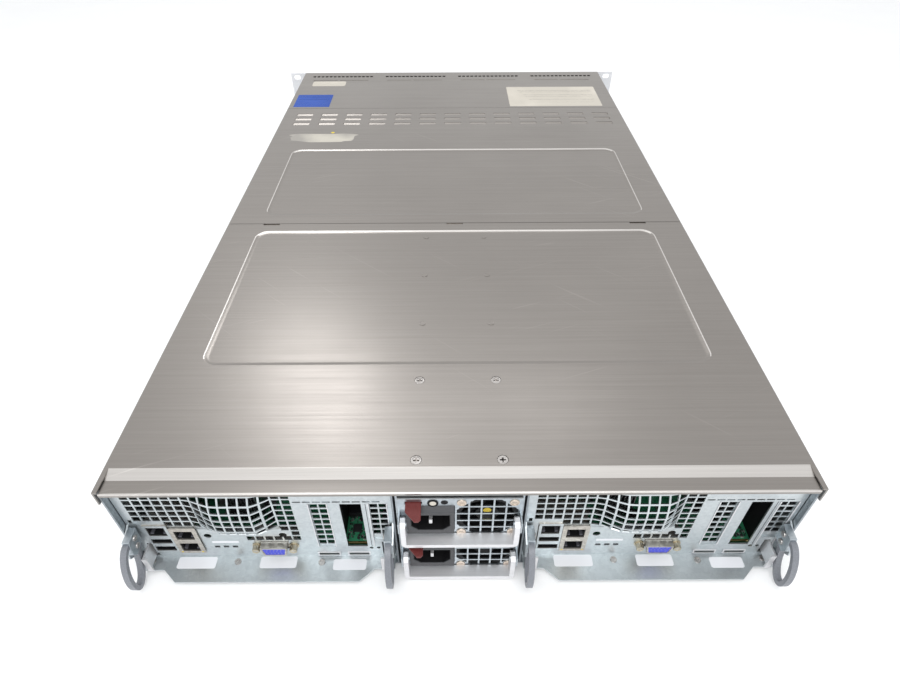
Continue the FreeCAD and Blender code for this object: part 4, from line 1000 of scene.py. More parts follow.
    def sticker(self, x0: float, x1: float, y0: float, y1: float, radius: float,
                level: float | None = None) -> bpy.types.Object:
        """Thin label with round corners.

        Args:
            x0: Its low side across.
            x1: Its high side across.
            y0: Its low side along.
            y1: Its high side along.
            radius: The corners' radius.
            level: Height of the face it lies on, the cover's top if not given.

        Returns:
            The label.
        """
        base = self.top - 0.11 if level is None else level
        corners = []
        for cx, cy, start in ((x1, y1, 0), (x0, y1, 90), (x0, y0, 180), (x1, y0, 270)):
            mx = cx - math.copysign(radius, cx - (x0 + x1) / 2)
            my = cy - math.copysign(radius, cy - (y0 + y1) / 2)
            for step in range(5):
                turn = math.radians(start + step * 22.5)
                corners.append((mx + radius * math.cos(turn), my + radius * math.sin(turn), base))
        return Bench.outline(corners, (0, 0, 0.1))

    def stickers(self) -> None:
        """Bare labels on the front cover, and old adhesive on the middle one."""
        looks = (("label_blue", BLUE_LABEL, 0.8), ("label_rating", CREAM_LABEL, 1.2),
                 ("label_strip", CREAM_LABEL, 3.0))
        for spot, (name, look, radius) in zip(self.label_spots(), looks):
            Bench.finish(self.sticker(*spot, radius), name, "chassis", look, "cover_steel")
        self.rulings()
        Bench.finish(self.patch(-0.10, -0.01), "adhesive_patch", "fan_lid", RESIDUE, "cover_steel")
        Bench.finish(self.dot(-0.10, -0.005), "adhesive_dot", "fan_lid", YELLOW, "cover_steel")

    def patch(self, low: float, high: float) -> bpy.types.Object:
        """Torn outline of old adhesive.

        Args:
            low: Its underside, measured up from the cover's top.
            high: Its upper side, measured up from the cover's top.

        Returns:
            The outline as a flat solid.
        """
        torn = []
        chance = random.Random(4)
        for i in range(self.patch_corners):
            turn = 2 * math.pi * i / self.patch_corners
            reach = 1.0 + chance.uniform(-0.14, 0.10)
            across, along = math.cos(turn), math.sin(turn)
            x = self.patch_x + self.patch_length * reach * math.copysign(abs(across) ** 0.6, across)
            y = self.patch_y + self.patch_width * reach * math.copysign(abs(along) ** 0.6, along)
            torn.append((x, y, self.top + low))
        return Bench.outline(torn, (0, 0, high - low))

    def dot(self, low: float, high: float) -> bpy.types.Object:
        """Yellow dot left beside the adhesive.

        Args:
            low: Its underside, measured up from the cover's top.
            high: Its upper side, measured up from the cover's top.

        Returns:
            The dot.
        """
        x, y = self.dot_x, self.dot_y
        return Bench.rod((x, y, self.top + low), (x, y, self.top + high), self.dot_radius, 16)

    def rulings(self) -> None:
        """Plain rules across the two larger labels, in place of any print."""
        low, high = self.top - 0.02 - 0.02, self.top - 0.02 + 0.01
        blue, rating, _ = self.label_spots()
        dark = []
        for share in (0.20, 0.27, 0.42, 0.50, 0.66, 0.80):
            y = rating[2] + (rating[3] - rating[2]) * share
            end = rating[1] - 9 - 30 * share
            dark.append(Bench.slab((rating[0] + 7, y, low), (end, y + 0.9, high), 0.0))
        Bench.finish(Bench.join(dark), "rating_rules", "chassis", INK, "cover_steel")
        pale = []
        for step in (8.0, 17.0, 30.0, 37.0):
            y = blue[2] + step
            pale.append(Bench.slab((blue[0] + 4, y, low), (blue[1] - 4, y + 1.0, high), 0.0))
        Bench.finish(Bench.join(pale), "blue_rules", "chassis", WHITE_LABEL, "cover_steel")


# ---- sleds ---------------------------------------------------------------------
@dataclass
class Sled:
    """One plug-in server: rear panel with its vent mesh, sockets, slots, handles and latches."""

    name: str
    middle: float
    rear: float = 368.0
    panel: float = 362.0
    half: float = 86.75
    top: float = 83.0
    floor: float = 2.7
    mesh_left: float = -24.65
    mesh_pitch: float = 6.2
    mesh_row: float = 6.05
    mesh_columns: int = 17
    mesh_bottom: float = 41.2
    bar: float = 1.15
    bulge: float = 8.1
    foot: float = 3.2
    mesh_thickness: float = 0.9
    small_holes: int = 9
    small_hole_u: float = -27.45
    combo: float = 69.35
    lan: float = 52.35
    jack_width: float = 12.0
    jack_height: float = 9.8
    usb_width: float = 13.4
    usb_height: float = 5.4
    jack_levels: tuple = (12.4, 27.0)
    usb_levels: tuple = (12.8, 22.0)
    combo_jack_level: float = 31.4
    socket_out: float = 0.8
    video_u: float = -5.1
    video_z: float = 17.2
    video_post: float = 12.5
    riser_top: float = 15.8
    riser_middle: float = -60.6
    riser_parts: int = 84
    board_parts: int = 24

    @property
    def bulge_left(self) -> float:
        """Where the pressed mesh starts.

        Returns:
            The distance across from the sled's middle.
        """
        return self.mesh_left + 2 * self.mesh_pitch

    @property
    def bulge_right(self) -> float:
        """Where the pressed mesh ends.

        Returns:
            The distance across from the sled's middle.
        """
        return self.mesh_left + 11 * self.mesh_pitch + self.bar

    @property
    def body(self) -> str:
        """Name of the body that this sled is.

        Returns:
            The body's name.
        """
        return "sled_" + self.name

    def tag(self, piece: str) -> str:
        """Name of one of this sled's pieces.

        Args:
            piece: The piece's short name.

        Returns:
            Its full name.
        """
        return "sled_" + self.name + "_" + piece

    def spot(self, u: float, y: float, z: float) -> Point:
        """Turn a place on the sled into the object's frame.

        Args:
            u: Distance across from the sled's middle.
            y: Place along.
            z: Height.

        Returns:
            The place in the object's frame.
        """
        return (self.middle + u, y, z)

    def slab(self, u0: float, u1: float, y0: float, y1: float, z0: float, z1: float,
             edge: float = 0.2) -> bpy.types.Object:
        """Rounded block at a place on the sled.

        Args:
            u0: Its low side across.
            u1: Its high side across.
            y0: Its low side along.
            y1: Its high side along.
            z0: Its bottom.
            z1: Its top.
            edge: How wide the rounding is.

        Returns:
            The block.
        """
        return Bench.slab(self.spot(u0, y0, z0), self.spot(u1, y1, z1), edge)

    def build(self) -> None:
        """Build all that is shown of the sled."""
        self.rear_sheet()
        self.sockets()
        self.video()
        self.slots()
        self.tray()
        self.rings()
        self.latches()
        self.boards()

    def press(self, u: float, z: float) -> float:
        """How far the mesh is pressed out at a place.

        Args:
            u: Distance across from the sled's middle.
            z: Height.

        Returns:
            The distance.
        """
        pitch, row = self.mesh_pitch, self.mesh_row
        across = ease(u, self.mesh_left + 2 * pitch, self.mesh_left + 4 * pitch)
        across *= 1.0 - ease(u, self.mesh_left + 7.5 * pitch, self.mesh_left + 11 * pitch)
        up = ease(z, self.mesh_bottom - self.foot, self.mesh_bottom + 2.0)
        up *= 1.0 - 0.22 * ease(z, self.mesh_bottom + 3 * row, self.mesh_bottom + 5 * row)
        up *= 1.0 - ease(z, self.mesh_bottom + 4.4 * row, self.top + 1.0)
        return self.bulge * across * up

    def mesh(self) -> bpy.types.Object:
        """Vent mesh with its smooth bulge.

        Returns:
            The mesh as a pierced sheet.
        """
        Bench.clear()
        bpy.ops.mesh.primitive_grid_add(x_subdivisions=self.mesh_columns, y_subdivisions=8, size=1.0)
        obj = bpy.context.active_object
        levels = [self.mesh_bottom - self.foot] + [self.mesh_bottom + i * self.mesh_row for i in range(7)]
        levels.append(self.top)
        for vertex in obj.data.vertices:
            column = round((vertex.co.x + 0.5) * self.mesh_columns)
            row = round((vertex.co.y + 0.5) * 8)
            u = self.mesh_left + self.bar / 2 + column * self.mesh_pitch
            vertex.co = Vector(self.spot(u, self.panel, levels[row])) * MM
        for face in obj.data.polygons:
            u = face.center.x / MM - self.middle
            z = face.center.z / MM
            column = int((u - self.mesh_left) / self.mesh_pitch)
            row = int((z - self.mesh_bottom) / self.mesh_row) if z > self.mesh_bottom else -1
            in_bulge = 2 <= column < 11
            over_sockets = column >= 14
            face.select = (1 <= row <= 5 or (row == 0 and not over_sockets)
                           or (row == 6 and in_bulge))
        chosen = [face.index for face in obj.data.polygons if face.select]
        bpy.ops.object.mode_set(mode="EDIT")
        bpy.ops.mesh.select_mode(type="FACE")
        bpy.ops.mesh.select_all(action="DESELECT")
        bpy.ops.object.mode_set(mode="OBJECT")
        for index in chosen:
            obj.data.polygons[index].select = True
        bpy.ops.object.mode_set(mode="EDIT")
        bpy.ops.mesh.inset(thickness=self.bar / 2 * MM, use_individual=True)
        bpy.ops.mesh.delete(type="FACE")
        bpy.ops.object.mode_set(mode="OBJECT")
        for face in obj.data.polygons:
            u = face.center.x / MM - self.middle
            below = face.center.z / MM < self.mesh_bottom - 0.7
            face.select = below and not self.bulge_left < u < self.bulge_right
        bpy.ops.object.mode_set(mode="EDIT")
        bpy.ops.mesh.delete(type="FACE")
        bpy.ops.mesh.select_all(action="SELECT")
        bpy.ops.mesh.normals_make_consistent(inside=False)
        bpy.ops.object.mode_set(mode="OBJECT")
        for vertex in obj.data.vertices:
            u = vertex.co.x / MM - self.middle
            vertex.co.y += self.press(u, vertex.co.z / MM) * MM
        outward = sum(face.normal.y * face.area for face in obj.data.polygons)
        Bench.apply(obj, "SOLIDIFY", thickness=self.mesh_thickness * MM,
                    offset=-1.0 if outward > 0 else 1.0)
        return obj

    def rear_sheet(self) -> None:
        """Rear panel: the flat sheet with its holes, joined to the pressed vent mesh."""
        sheet = Bench.worked(self.tag("rear_panel"), 0.0)
        right = self.mesh_left + self.mesh_columns * self.mesh_pitch + self.bar / 2
        left = self.mesh_left + self.bar / 2
        near, far = self.panel - 3, self.panel + 12
        window = self.slab(left, right, near, far, self.mesh_bottom, self.top + 3, 0.0)
        Bench.carve(sheet, [window])
        foot = self.slab(self.bulge_left, self.bulge_right, near, far, self.mesh_bottom - 3.4,
                         self.mesh_bottom + 1, 0.0)
        Bench.carve(sheet, [foot])
        cutters = []
        for i in range(self.small_holes):
            u = self.small_hole_u - i * self.mesh_pitch
            cutters.append(self.slab(u - 2.5, u + 2.5, near, far, 67.8, 69.0, 0.0))
        for u in (-69.7, -74.5):
            cutters.append(Bench.rod(self.spot(u, near, 13.0), self.spot(u, far, 13.0), 1.3, 16))
        cutters.append(Bench.rod(self.spot(-12.1, near, 30.0), self.spot(-12.1, far, 30.0), 2.6, 20))
        cutters.append(self.slab(82.2, 84.4, near, far, 45.0, 49.0, 0.0))
        Bench.carve(sheet, cutters)
        whole = Bench.join([sheet, self.mesh()])
        Bench.finish(whole, self.tag("rear_sheet"), self.body, PANEL, "galvanised_steel",
                     self.tag("rear_panel"))
        groove = self.slab(-70.35, -69.95, self.panel - 0.02, self.panel + 0.12, 15.0, 66.0, 0.03)
        Bench.finish(groove, self.tag("sheet_joint"), self.body, DARK, "galvanised_steel")

    def socket_spots(self) -> list[tuple[float, float, float, float]]:
        """Places of the five socket openings.

        Returns:
            Middle across, bottom, width and height of each.
        """
        jack, usb = (self.jack_width, self.jack_height), (self.usb_width, self.usb_height)
        spots = [(self.combo, self.combo_jack_level, *jack)]
        spots += [(self.lan, level, *jack) for level in self.jack_levels]
        spots += [(self.combo, level, *usb) for level in self.usb_levels]
        return spots

    def sockets(self) -> None:
        """Linings, contacts and tongues of the stacked sockets."""
        face = self.panel + self.socket_out
        linings, tongues, contacts = [], [], []
        for u, z, width, height in self.socket_spots():
            block = self.slab(u - width / 2 + 0.1, u + width / 2 - 0.1, face - 13.9, face - 0.3,
                              z + 0.1, z + height - 0.1, 0.0)
            linings.append(Bench.hollow(block, (0, 1, 0), 0.6, 12.5))
            if height < self.jack_height:
                tongues.append(self.slab(u - 5.4, u + 5.4, face - 13.0, face - 1.6, z + 2.9, z + 4.6, 0.2))
            else:
                for i in range(8):
                    x = u - 3.6 + i * 1.03
                    contacts.append(self.slab(x - 0.2, x + 0.2, face - 9.0, face - 2.2, z + 7.4, z + 8.1,
                                              0.08))
                for side in (-1, 1):
                    x0, x1 = sorted((u + side * 5.3, u + side * 3.2))
                    tongues.append(self.slab(x0, x1, face - 13.0, face - 0.7, z + 0.8, z + 2.4, 0.15))
        for parts, piece, look in ((linings, "socket_linings", BLACK), (tongues, "socket_tongues", DARK),
                                   (contacts, "socket_contacts", GOLD)):
            Bench.finish(Bench.join(parts), self.tag(piece), self.body, look, "port_shell")
        self.socket_faces()

    def socket_faces(self) -> None:
        """Face plates round the two stacks of sockets, and the network lamps."""
        face = self.panel + self.socket_out
        for u, half, depth, top, edge, piece, look in (
                (self.lan, 8.9, 0.5, 40.2, 0.15, "network_face", BEIGE),
                (self.combo, 7.9, 0.3, 43.0, 0.12, "combined_face", PANEL)):
            plate = self.slab(u - half, u + half, face, face + depth, 9.8, top, edge)
            holes = [self.slab(u - width / 2, u + width / 2, face - 1, face + 2, z, z + height, 0.0)
                     for middle, z, width, height in self.socket_spots() if middle == u]
            Bench.finish(Bench.carve(plate, holes), self.tag(piece), self.body, look, "port_shell")
        lamps = [self.slab(self.lan + side * 6.9 - 0.6, self.lan + side * 6.9 + 0.6, face + 0.3,
                           face + 0.65, 10.9, 11.9, 0.15) for side in (-1, 1)]
        Bench.finish(Bench.join(lamps), self.tag("network_lamps"), self.body, YELLOW, "port_shell")

    def video(self) -> None:
        """Video connector: blue insert with its contact holes, and brass hexagon posts."""
        u, z = self.video_u, self.video_z
        face = self.panel + 5.1
        rim = [(u - 8.0, 3.7), (u + 8.0, 3.7), (u + 6.4, -3.7), (u - 6.4, -3.7)]
        insert = Bench.outline([self.spot(a, face - 2.0, z + b) for a, b in rim], (0, 2.0, 0), 0.3)
        holes = []
        for row in range(3):
            for i in range(5):
                x = u + (i - 2) * 2.3 + (0.6 if row == 1 else 0.0)
                height = z + 2.0 - row * 2.0
                holes.append(Bench.rod(self.spot(x, face - 1.2, height), self.spot(x, face + 1, height),
                                       0.42, 8))
        Bench.finish(Bench.carve(insert, holes), self.tag("video_insert"), self.body, BLUE, "port_shell")
        posts = []
        for side in (-1, 1):
            centre = u + side * self.video_post
            start, end = self.spot(centre, self.panel, z), self.spot(centre, self.panel + 4.9, z)
            nut = Bench.hollow(Bench.rod(start, end, 2.75, 6), (0, 1, 0), 1.1, 3.4, 0.25)
            washer = Bench.rod(start, self.spot(centre, self.panel + 0.7, z), 3.4, 20, 0.15)
            posts += [nut, washer]
        Bench.finish(Bench.join(posts), self.tag("video_posts"), self.body, BRASS, "port_shell")

    def slots(self) -> None:
        """Rolled edges of the slot covers, the lamp window and the strip above it."""
        parts = []
        for u in (-83.6, -72.0, -46.0, -34.1):
            parts.append(self.slab(u - 0.35, u + 0.35, self.panel, self.panel + 0.5, 15.5, 66.5, 0.15))
        for u in (-40.05, -60.65):
            rim = self.slab(u - 7.9, u + 7.9, self.panel, self.panel + 0.5, 3.6, 8.2, 0.2)
            hole = self.slab(u - 6.9, u + 6.9, self.panel - 1, self.panel + 2, 4.4, 7.4, 0.0)
            parts.append(Bench.carve(rim, [hole]))
        Bench.finish(Bench.join(parts), self.tag("slot_edges"), self.body, BRIGHT, "galvanised_steel")
        strip = self.slab(19.0, 37.0, self.panel, self.panel + 0.12, 20.6, 22.8, 0.04)
        Bench.finish(strip, self.tag("lamp_strip"), self.body, WHITE_LABEL, "galvanised_steel")
        lamps = [self.slab(u - 1.7, u + 1.7, self.panel - 3.0, self.panel - 0.7, 14.6, 16.6, 0.2)
                 for u in (34.9, 28.8, 22.7)]
        Bench.finish(Bench.join(lamps), self.tag("lamps"), self.body, BLACK, "port_shell")

    def tray(self) -> None:
        """Labels and fixings on the lip that stands out behind the panel."""
        level = self.floor
        cover = TopCover()
        labels = []
        for u0, u1, y0, y1 in ((37.6, 64.1, -5.4, 3.0), (-17.8, 7.4, -5.4, 3.0), (-65.8, -43.0, -3.2, 4.6)):
            a, b = self.middle + u0, self.middle + u1
            labels.append(cover.sticker(a, b, self.rear + y0, self.rear + y1, 1.5, level))
        Bench.finish(Bench.join(labels), self.tag("lip_labels"), self.body, WHITE_LABEL, "galvanised_steel")
        fixings = []
        for u, y, radius in ((81.7, -2.6, 2.2), (22.9, -1.8, 2.3), (-34.9, -1.1, 2.3), (-80.0, -2.2, 2.2)):
            start = self.spot(u, self.rear + y, level - 0.2)
            end = self.spot(u, self.rear + y, level + 0.7)
            fixings.append(Bench.hollow(Bench.rod(start, end, radius, 20), (0, 0, 1), radius * 0.45,
                                        0.5, 0.12))
        Bench.finish(Bench.join(fixings), self.tag("lip_fixings"), self.body, SCREW, "screw_steel")
        Bench.finish(Bench.worked(self.tag("tray"), 0.25), self.tag("tray_sheet"), self.body, PANEL,
                     "galvanised_steel", self.tag("tray"))

    def rings(self) -> None:
        """Ring handles with their rivets."""
        Bench.finish(Bench.worked(self.tag("handles"), 0.7, 3), self.tag("rings"), self.body, RING_GREY,
                     "ring_plastic", self.tag("handles"))
        rivets, plates = [], []
        for side in (-1, 1):
            inner = side * (self.half - 1.2 - 4.0)
            shape = [(-4.6, 42.6), (6.5, 42.2), (8.4, 31.0), (5.6, 26.4), (-3.8, 28.4)]
            corners = [self.spot(inner - side * 0.7, self.rear + y, z) for y, z in shape]
            plates.append(Bench.outline(corners, (side * 4.9, 0, 0), 0.4))
            for y, z in ((0.4, 38.4), (1.6, 31.6)):
                start = self.spot(inner, self.rear + y, z)
                end = self.spot(inner - side * 1.6, self.rear + y, z)
                rivets.append(Bench.rod(start, end, 2.1, 20, 0.5))
        Bench.finish(Bench.join(plates), self.tag("ring_plates"), self.body, ZINC, "galvanised_steel")
        Bench.finish(Bench.join(rivets), self.tag("ring_rivets"), self.body, SCREW, "screw_steel")

    def latches(self) -> None:
        """Thumb latches with softened bends."""
        for side in ("left", "right"):
            node = self.tag("latch_" + side)
            Bench.finish(Bench.worked(node, 0.4, 2), node + "_strip", node, BRIGHT, "latch_steel", node)

    def boards(self) -> None:
        """Chips and edge contacts of the riser board, and parts on the main board."""
        chance = random.Random(7)
        chips, tins = [], []
        top = self.riser_top
        for i in range(self.riser_parts):
            u = self.riser_middle + chance.uniform(-7.6, 7.6)
            y = self.panel - 4.6 - chance.uniform(0.0, 17.0)
            w, l, h = chance.uniform(0.25, 0.8), chance.uniform(0.3, 0.9), chance.uniform(0.3, 0.9)
            block = self.slab(u - w, u + w, y - l, y + l, top - 0.1, top + h, 0.1)
            (chips if i % 3 else tins).append(block)
        chips.append(self.slab(-62.0, -56.0, self.panel - 16.0, self.panel - 10.0, top, top + 1.0, 0.2))
        for i in range(self.board_parts):
            u = chance.uniform(-50.0, 66.0)
            y = self.panel - 24.0 - chance.uniform(0.0, 16.0)
            w, h = chance.uniform(1.2, 3.4), chance.uniform(1.0, 6.0)
            block = self.slab(u - w, u + w, y - w, y + w, 10.5, 10.6 + h, 0.2)
            (chips if i % 2 else tins).append(block)
        Bench.finish(Bench.join(chips), self.tag("chips"), self.body, CHIP, "circuit_board")
        Bench.finish(Bench.join(tins), self.tag("small_parts"), self.body, TIN, "circuit_board")
        self.riser_shroud_and_shade_plates()
        self.coolers()

    def riser_shroud_and_shade_plates(self) -> None:
        """Black shroud round the riser board, two upright black plates that stand in for the shade deeper
        inside the slot window (painted shade), and the board's edge contacts.
        """
        top = self.riser_top
        shroud = self.slab(-69.4, -51.9, self.panel - 62.0, self.panel - 22.0, top, top + 5.0, 0.4)
        # The upright wall and side plates are black sheets put where there is only shade: painted shade.
        shade_wall = self.slab(-51.3, -46.5, self.panel - 62.0, self.panel - 12.0, 12.0, 64.0, 0.4)
        side = self.slab(-71.6, -70.1, self.panel - 62.0, self.panel - 1.5, 12.0, 66.0, 0.2)
        Bench.finish(Bench.join([shroud, shade_wall, side]), self.tag("riser_shroud_and_shade_plates"), self.body, BLACK,
                     "circuit_board")
        edge = self.slab(-68.4, -52.8, self.panel - 3.4, self.panel - 2.4, top - 1.75, top + 0.1, 0.1)
        Bench.finish(edge, self.tag("riser_contacts"), self.body, GOLD, "circuit_board")

    def coolers(self) -> None:
        """Finned cooler and capacitors behind the vent mesh."""
        fins = [self.slab(9.0 + i * 2.4, 9.8 + i * 2.4, self.panel - 40.0, self.panel - 20.0, 11.0, 62.0,
                          0.1) for i in range(9)]
        Bench.finish(Bench.join(fins), self.tag("chip_cooler"), self.body, ALUMINIUM, "circuit_board")
        caps = []
        for i in range(7):
            for j in range(2):
                u, y = -48.0 + i * 16.0, self.panel - 44.0 - j * 9.0
                caps.append(Bench.rod(self.spot(u, y, 10.4), self.spot(u, y, 18.0), 3.2, 16, 0.4))
        Bench.finish(Bench.join(caps), self.tag("capacitors"), self.body, ALUMINIUM, "circuit_board")


# ---- power supplies ------------------------------------------------------------
@dataclass
class PowerSupply:
    """One plug-in power supply: its guard, lamp, inlet, handle and release tab."""

    name: str
    bottom: float
    face: float = 369.5
    height: float = 39.6
    fan_x: float = -17.0
    guard: float = 16.0
    guard_pitch: float = 7.6
    guard_bar: float = 1.1
    guard_edge: float = 18.9
    guard_cut: float = 27.0
    inlet_x: float = 18.15
    inlet_up: float = 18.45
    lamp_x: float = 16.4
    lamp_up: float = 35.6
    small_port_x: float = 9.4

    def build(self) -> None:
        """Build all that is shown of the power supply."""
        body = "psu_" + self.name
        handle = body + "_handle"
        Bench.finish(Bench.worked(handle, 0.5, 3), handle + "_bail", handle, BRIGHT, "handle_paint", handle)
        self.release(body)
        inlet = body + "_inlet"
        Bench.finish(Bench.worked(inlet, 0.25, 2), inlet + "_housing", body, SOCKET, "inlet_plastic", inlet)
        self.case(body)
        if self.name == "high":
            self.hub_label()
        self.socket(body)
        self.fixings(body)

    def release(self, body: str) -> None:
        """Red release tab, cut away towards its tip.

        Args:
            body: The body of the power supply.
        """
        tab = body + "_tab"
        low, high = (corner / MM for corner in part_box(tab))
        near = high.y - 0.62 * (high.y - self.face)
        corners = [(high.x + 1, near), (high.x + 1, high.y + 1), (low.x + 3.0, high.y + 1)]
        wedge = Bench.outline([(x, y, low.z - 1) for x, y in corners], (0, 0, high.z - low.z + 2))
        thumb = Bench.bevel(Bench.carve(Bench.worked(tab, 0.0), [wedge]), 0.4, 3)
        Bench.finish(thumb, tab + "_thumb", tab, RED, "release_plastic", tab)

    def case(self, body: str) -> None:
        """Case sheet, and the black frame of the fan behind its guard.

        Args:
            body: The body they move with.
        """
        Bench.worked(body + "_case", 0.0)
        bpy.ops.mesh.separate(type="LOOSE")
        parts = sorted(bpy.context.selected_objects, key=lambda part: part.dimensions.y)
        frame_part, sheet = parts[:-1], parts[-1]
        Bench.carve(sheet, [self.guard_cells()])
        Bench.finish(Bench.bevel(sheet, 0.25, 2), body + "_case_sheet", body, ZINC, "galvanised_steel",
                     body + "_case")
        Bench.finish(Bench.join(frame_part), body + "_fan_frame", body, BLACK, "fan_plastic")

    def guard_cells(self) -> bpy.types.Object:
        """Openings of the fan guard: square cells inside an eight-sided outline.

        Returns:
            The openings as one solid.
        """
        pitch, bar, edge, cut = self.guard_pitch, self.guard_bar, self.guard_edge, self.guard_cut
        middle = self.bottom + self.height / 2
        cells = []
        for i in range(-2, 3):
            for j in range(-2, 3):
                low = [max(-edge, step * pitch - (pitch - bar) / 2) for step in (i, j)]
                high = [min(edge, step * pitch + (pitch - bar) / 2) for step in (i, j)]
                if i in (-2, 2):
                    low[0], high[0] = (-edge, high[0]) if i < 0 else (low[0], edge)
                if j in (-2, 2):
                    low[1], high[1] = (-edge, high[1]) if j < 0 else (low[1], edge)
                cells.append(Bench.slab((self.fan_x + low[0], self.face - 1.9, middle + low[1]),
                                        (self.fan_x + high[0], self.face + 0.9, middle + high[1]), 0.0))
        short = cut - edge
        corners = [(edge, short), (short, edge), (-short, edge), (-edge, short), (-edge, -short),
                   (-short, -edge), (short, -edge), (edge, -short)]
        outline = Bench.outline([(self.fan_x + a, self.face - 1.6, middle + b) for a, b in corners],
                                (0, 2.2, 0))
        whole = Bench.join(cells)
        Bench.apply(whole, "BOOLEAN", operation="INTERSECT", object=outline, solver="EXACT")
        bpy.data.objects.remove(outline)
        return whole

    def hub_label(self) -> None:
        """Yellow label on the fan's hub."""
        node = "psu_" + self.name + "_rotor"
        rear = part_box(node)[1].y / MM
        x, z = self.fan_x, self.bottom + self.height / 2 + 3.0
        label = Bench.rod((x, rear - 0.2, z), (x, rear + 0.1, z), 2.6, 24)
        Bench.hollow(label, (0, 1, 0), 0.8, 0.05)
        Bench.finish(label, node + "_label", node, YELLOW, "fan_plastic")

    def socket(self, body: str) -> None:
        """Black lining and bright blades of the mains inlet.

        Args:
            body: The body it moves with.
        """
        x, z = self.inlet_x, self.bottom + self.inlet_up
        floor = self.face + 3.0 - 16.0
        w, h, c = 12.15, 8.15, 4.5
        rim = [(x - w, h), (x + w, h), (x + w, -h + c), (x + w - c, -h), (x - w + c, -h), (x - w, -h + c)]
        block = Bench.outline([(a, floor + 0.1, z + b) for a, b in rim], (0, 15.6, 0))
        lining = Bench.hollow(block, (0, 1, 0), 0.4, 15.2)
        Bench.finish(lining, body + "_socket_lining", body, BLACK, "inlet_plastic")
        blades = []
        for dx, dz in ((-7.0, 1.6), (0.0, -2.4), (7.0, 1.6)):
            tip = self.face + (0.8 if dx == 0.0 else -2.4)
            blades.append(Bench.slab((x + dx - 1.1, floor, z + dz - 2.1),
                                     (x + dx + 1.1, tip, z + dz + 2.1), 0.4))
        Bench.finish(Bench.join(blades), body + "_blades", body, BRIGHT, "inlet_plastic")

    def fixings(self, body: str) -> None:
        """Fan screws, lamp with its ring, and the small opening beside it, drawn as a thin black disc:
        painted shade of the hole.

        Args:
            body: The body it moves with.
        """
        middle = self.bottom + self.height / 2
        screws = []
        for i in (-1, 1):
            for j in (-1, 1):
                x, z = self.fan_x + i * self.guard, middle + j * self.guard
                head = Bench.rod((x, self.face - 0.2, z), (x, self.face + 0.7, z), 3.0, 24, 0.35)
                Bench.hollow(head, (0, 1, 0), 0.6, 0.25)
                cross = Bench.slab((x - 1.3, self.face - 0.1, z - 0.3),
                                   (x + 1.3, self.face + 1, z + 0.3), 0.0)
                screws.append(Bench.bevel(Bench.carve(head, [cross]), 0.08))
        Bench.finish(Bench.join(screws), body + "_fan_screws", body, COPPER, "screw_steel")
        x, z = self.lamp_x, self.bottom + self.lamp_up
        ring = Bench.rod((x, self.face, z), (x, self.face + 0.5, z), 3.4, 28)
        Bench.hollow(ring, (0, 1, 0), 1.2, 0.4, 0.1)
        Bench.finish(ring, body + "_lamp_ring", body, BLACK, "inlet_plastic")
        lens = Bench.rod((x, self.face, z), (x, self.face + 0.6, z), 2.1, 24, 0.3)
        Bench.finish(lens, body + "_lamp", body, CREAM_LABEL, "inlet_plastic")
        # The small opening is a thin black disc on the face: painted shade of the hole.
        port = self.small_port_x
        hole = Bench.rod((port, self.face, z + 0.6), (port, self.face + 0.06, z + 0.6), 2.2, 24)
        Bench.hollow(hole, (0, 1, 0), 0.2, 0.03)
        Bench.finish(hole, body + "_small_port_shade_disc", body, BLACK, "inlet_plastic")


# ---- front ---------------------------------------------------------------------
@dataclass
class Front:
    """Ears, control panels and drive bezels."""

    drives: int = 12
    ribs: int = 12
    lamp_rows: int = 5
    lamp_in: float = 10.2

    def build(self) -> None:
        """Build all that is shown at the front."""
        Bench.finish(Bench.worked("rack_ears", 0.35, 2), "ear_brackets", "chassis", EAR_PAINT, "ear_paint",
                     "rack_ears")
        Bench.finish(Bench.worked("ear_panels", 0.5, 3), "ear_keypads", "chassis", EAR_PAINT, "dark_plastic",
                     "ear_panels")
        for side in ("a", "b"):
            node = "power_button_" + side
            Bench.finish(Bench.worked(node, 0.3, 3), node + "_cap", node, KEY, "key_plastic", node)
        self.lamps()
        for number in range(1, self.drives + 1):
            self.bezel(number)

    def lamps(self) -> None:
        """Status lamps on the two control panels."""
        low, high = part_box("ear_panels")
        parts = []
        for side in (-1, 1):
            x = side * (high.x / MM - self.lamp_in)
            for i in range(self.lamp_rows):
                z = 20.0 + i * 6.0
                y = low.y / MM
                parts.append(Bench.rod((x, y + 0.5, z), (x, y - 0.15, z), 1.2, 16, 0.15))
        Bench.finish(Bench.join(parts), "status_lamps", "chassis", WHITE_LABEL, "dark_plastic")

    def bezel(self, number: int) -> None:
        """Drive carrier with ribs in its vent and a coloured release.

        Args:
            number: Which of the twelve drives.
        """
        node = "drive_%02d" % number
        low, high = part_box(node)
        x0, x1 = low.x / MM, high.x / MM
        z0, z1 = low.z / MM, high.z / MM
        y = low.y / MM
        ribs = []
        for i in range(self.ribs):
            x = x0 + 10.0 + (x1 - x0 - 20.0) * i / (self.ribs - 1)
            ribs.append(Bench.slab((x - 0.7, y + 0.4, z1 - 11.0), (x + 0.7, y + 3.4, z1 - 3.8), 0.2))
        Bench.finish(Bench.join(ribs), node + "_ribs", node, DARK, "drive_plastic")
        release = Bench.slab((x1 - 20.0, y + 0.1, z0 + 5.6), (x1 - 10.0, y + 1.2, z0 + 10.2), 0.35, 3)
        Bench.finish(release, node + "_release", node, RED, "drive_plastic")


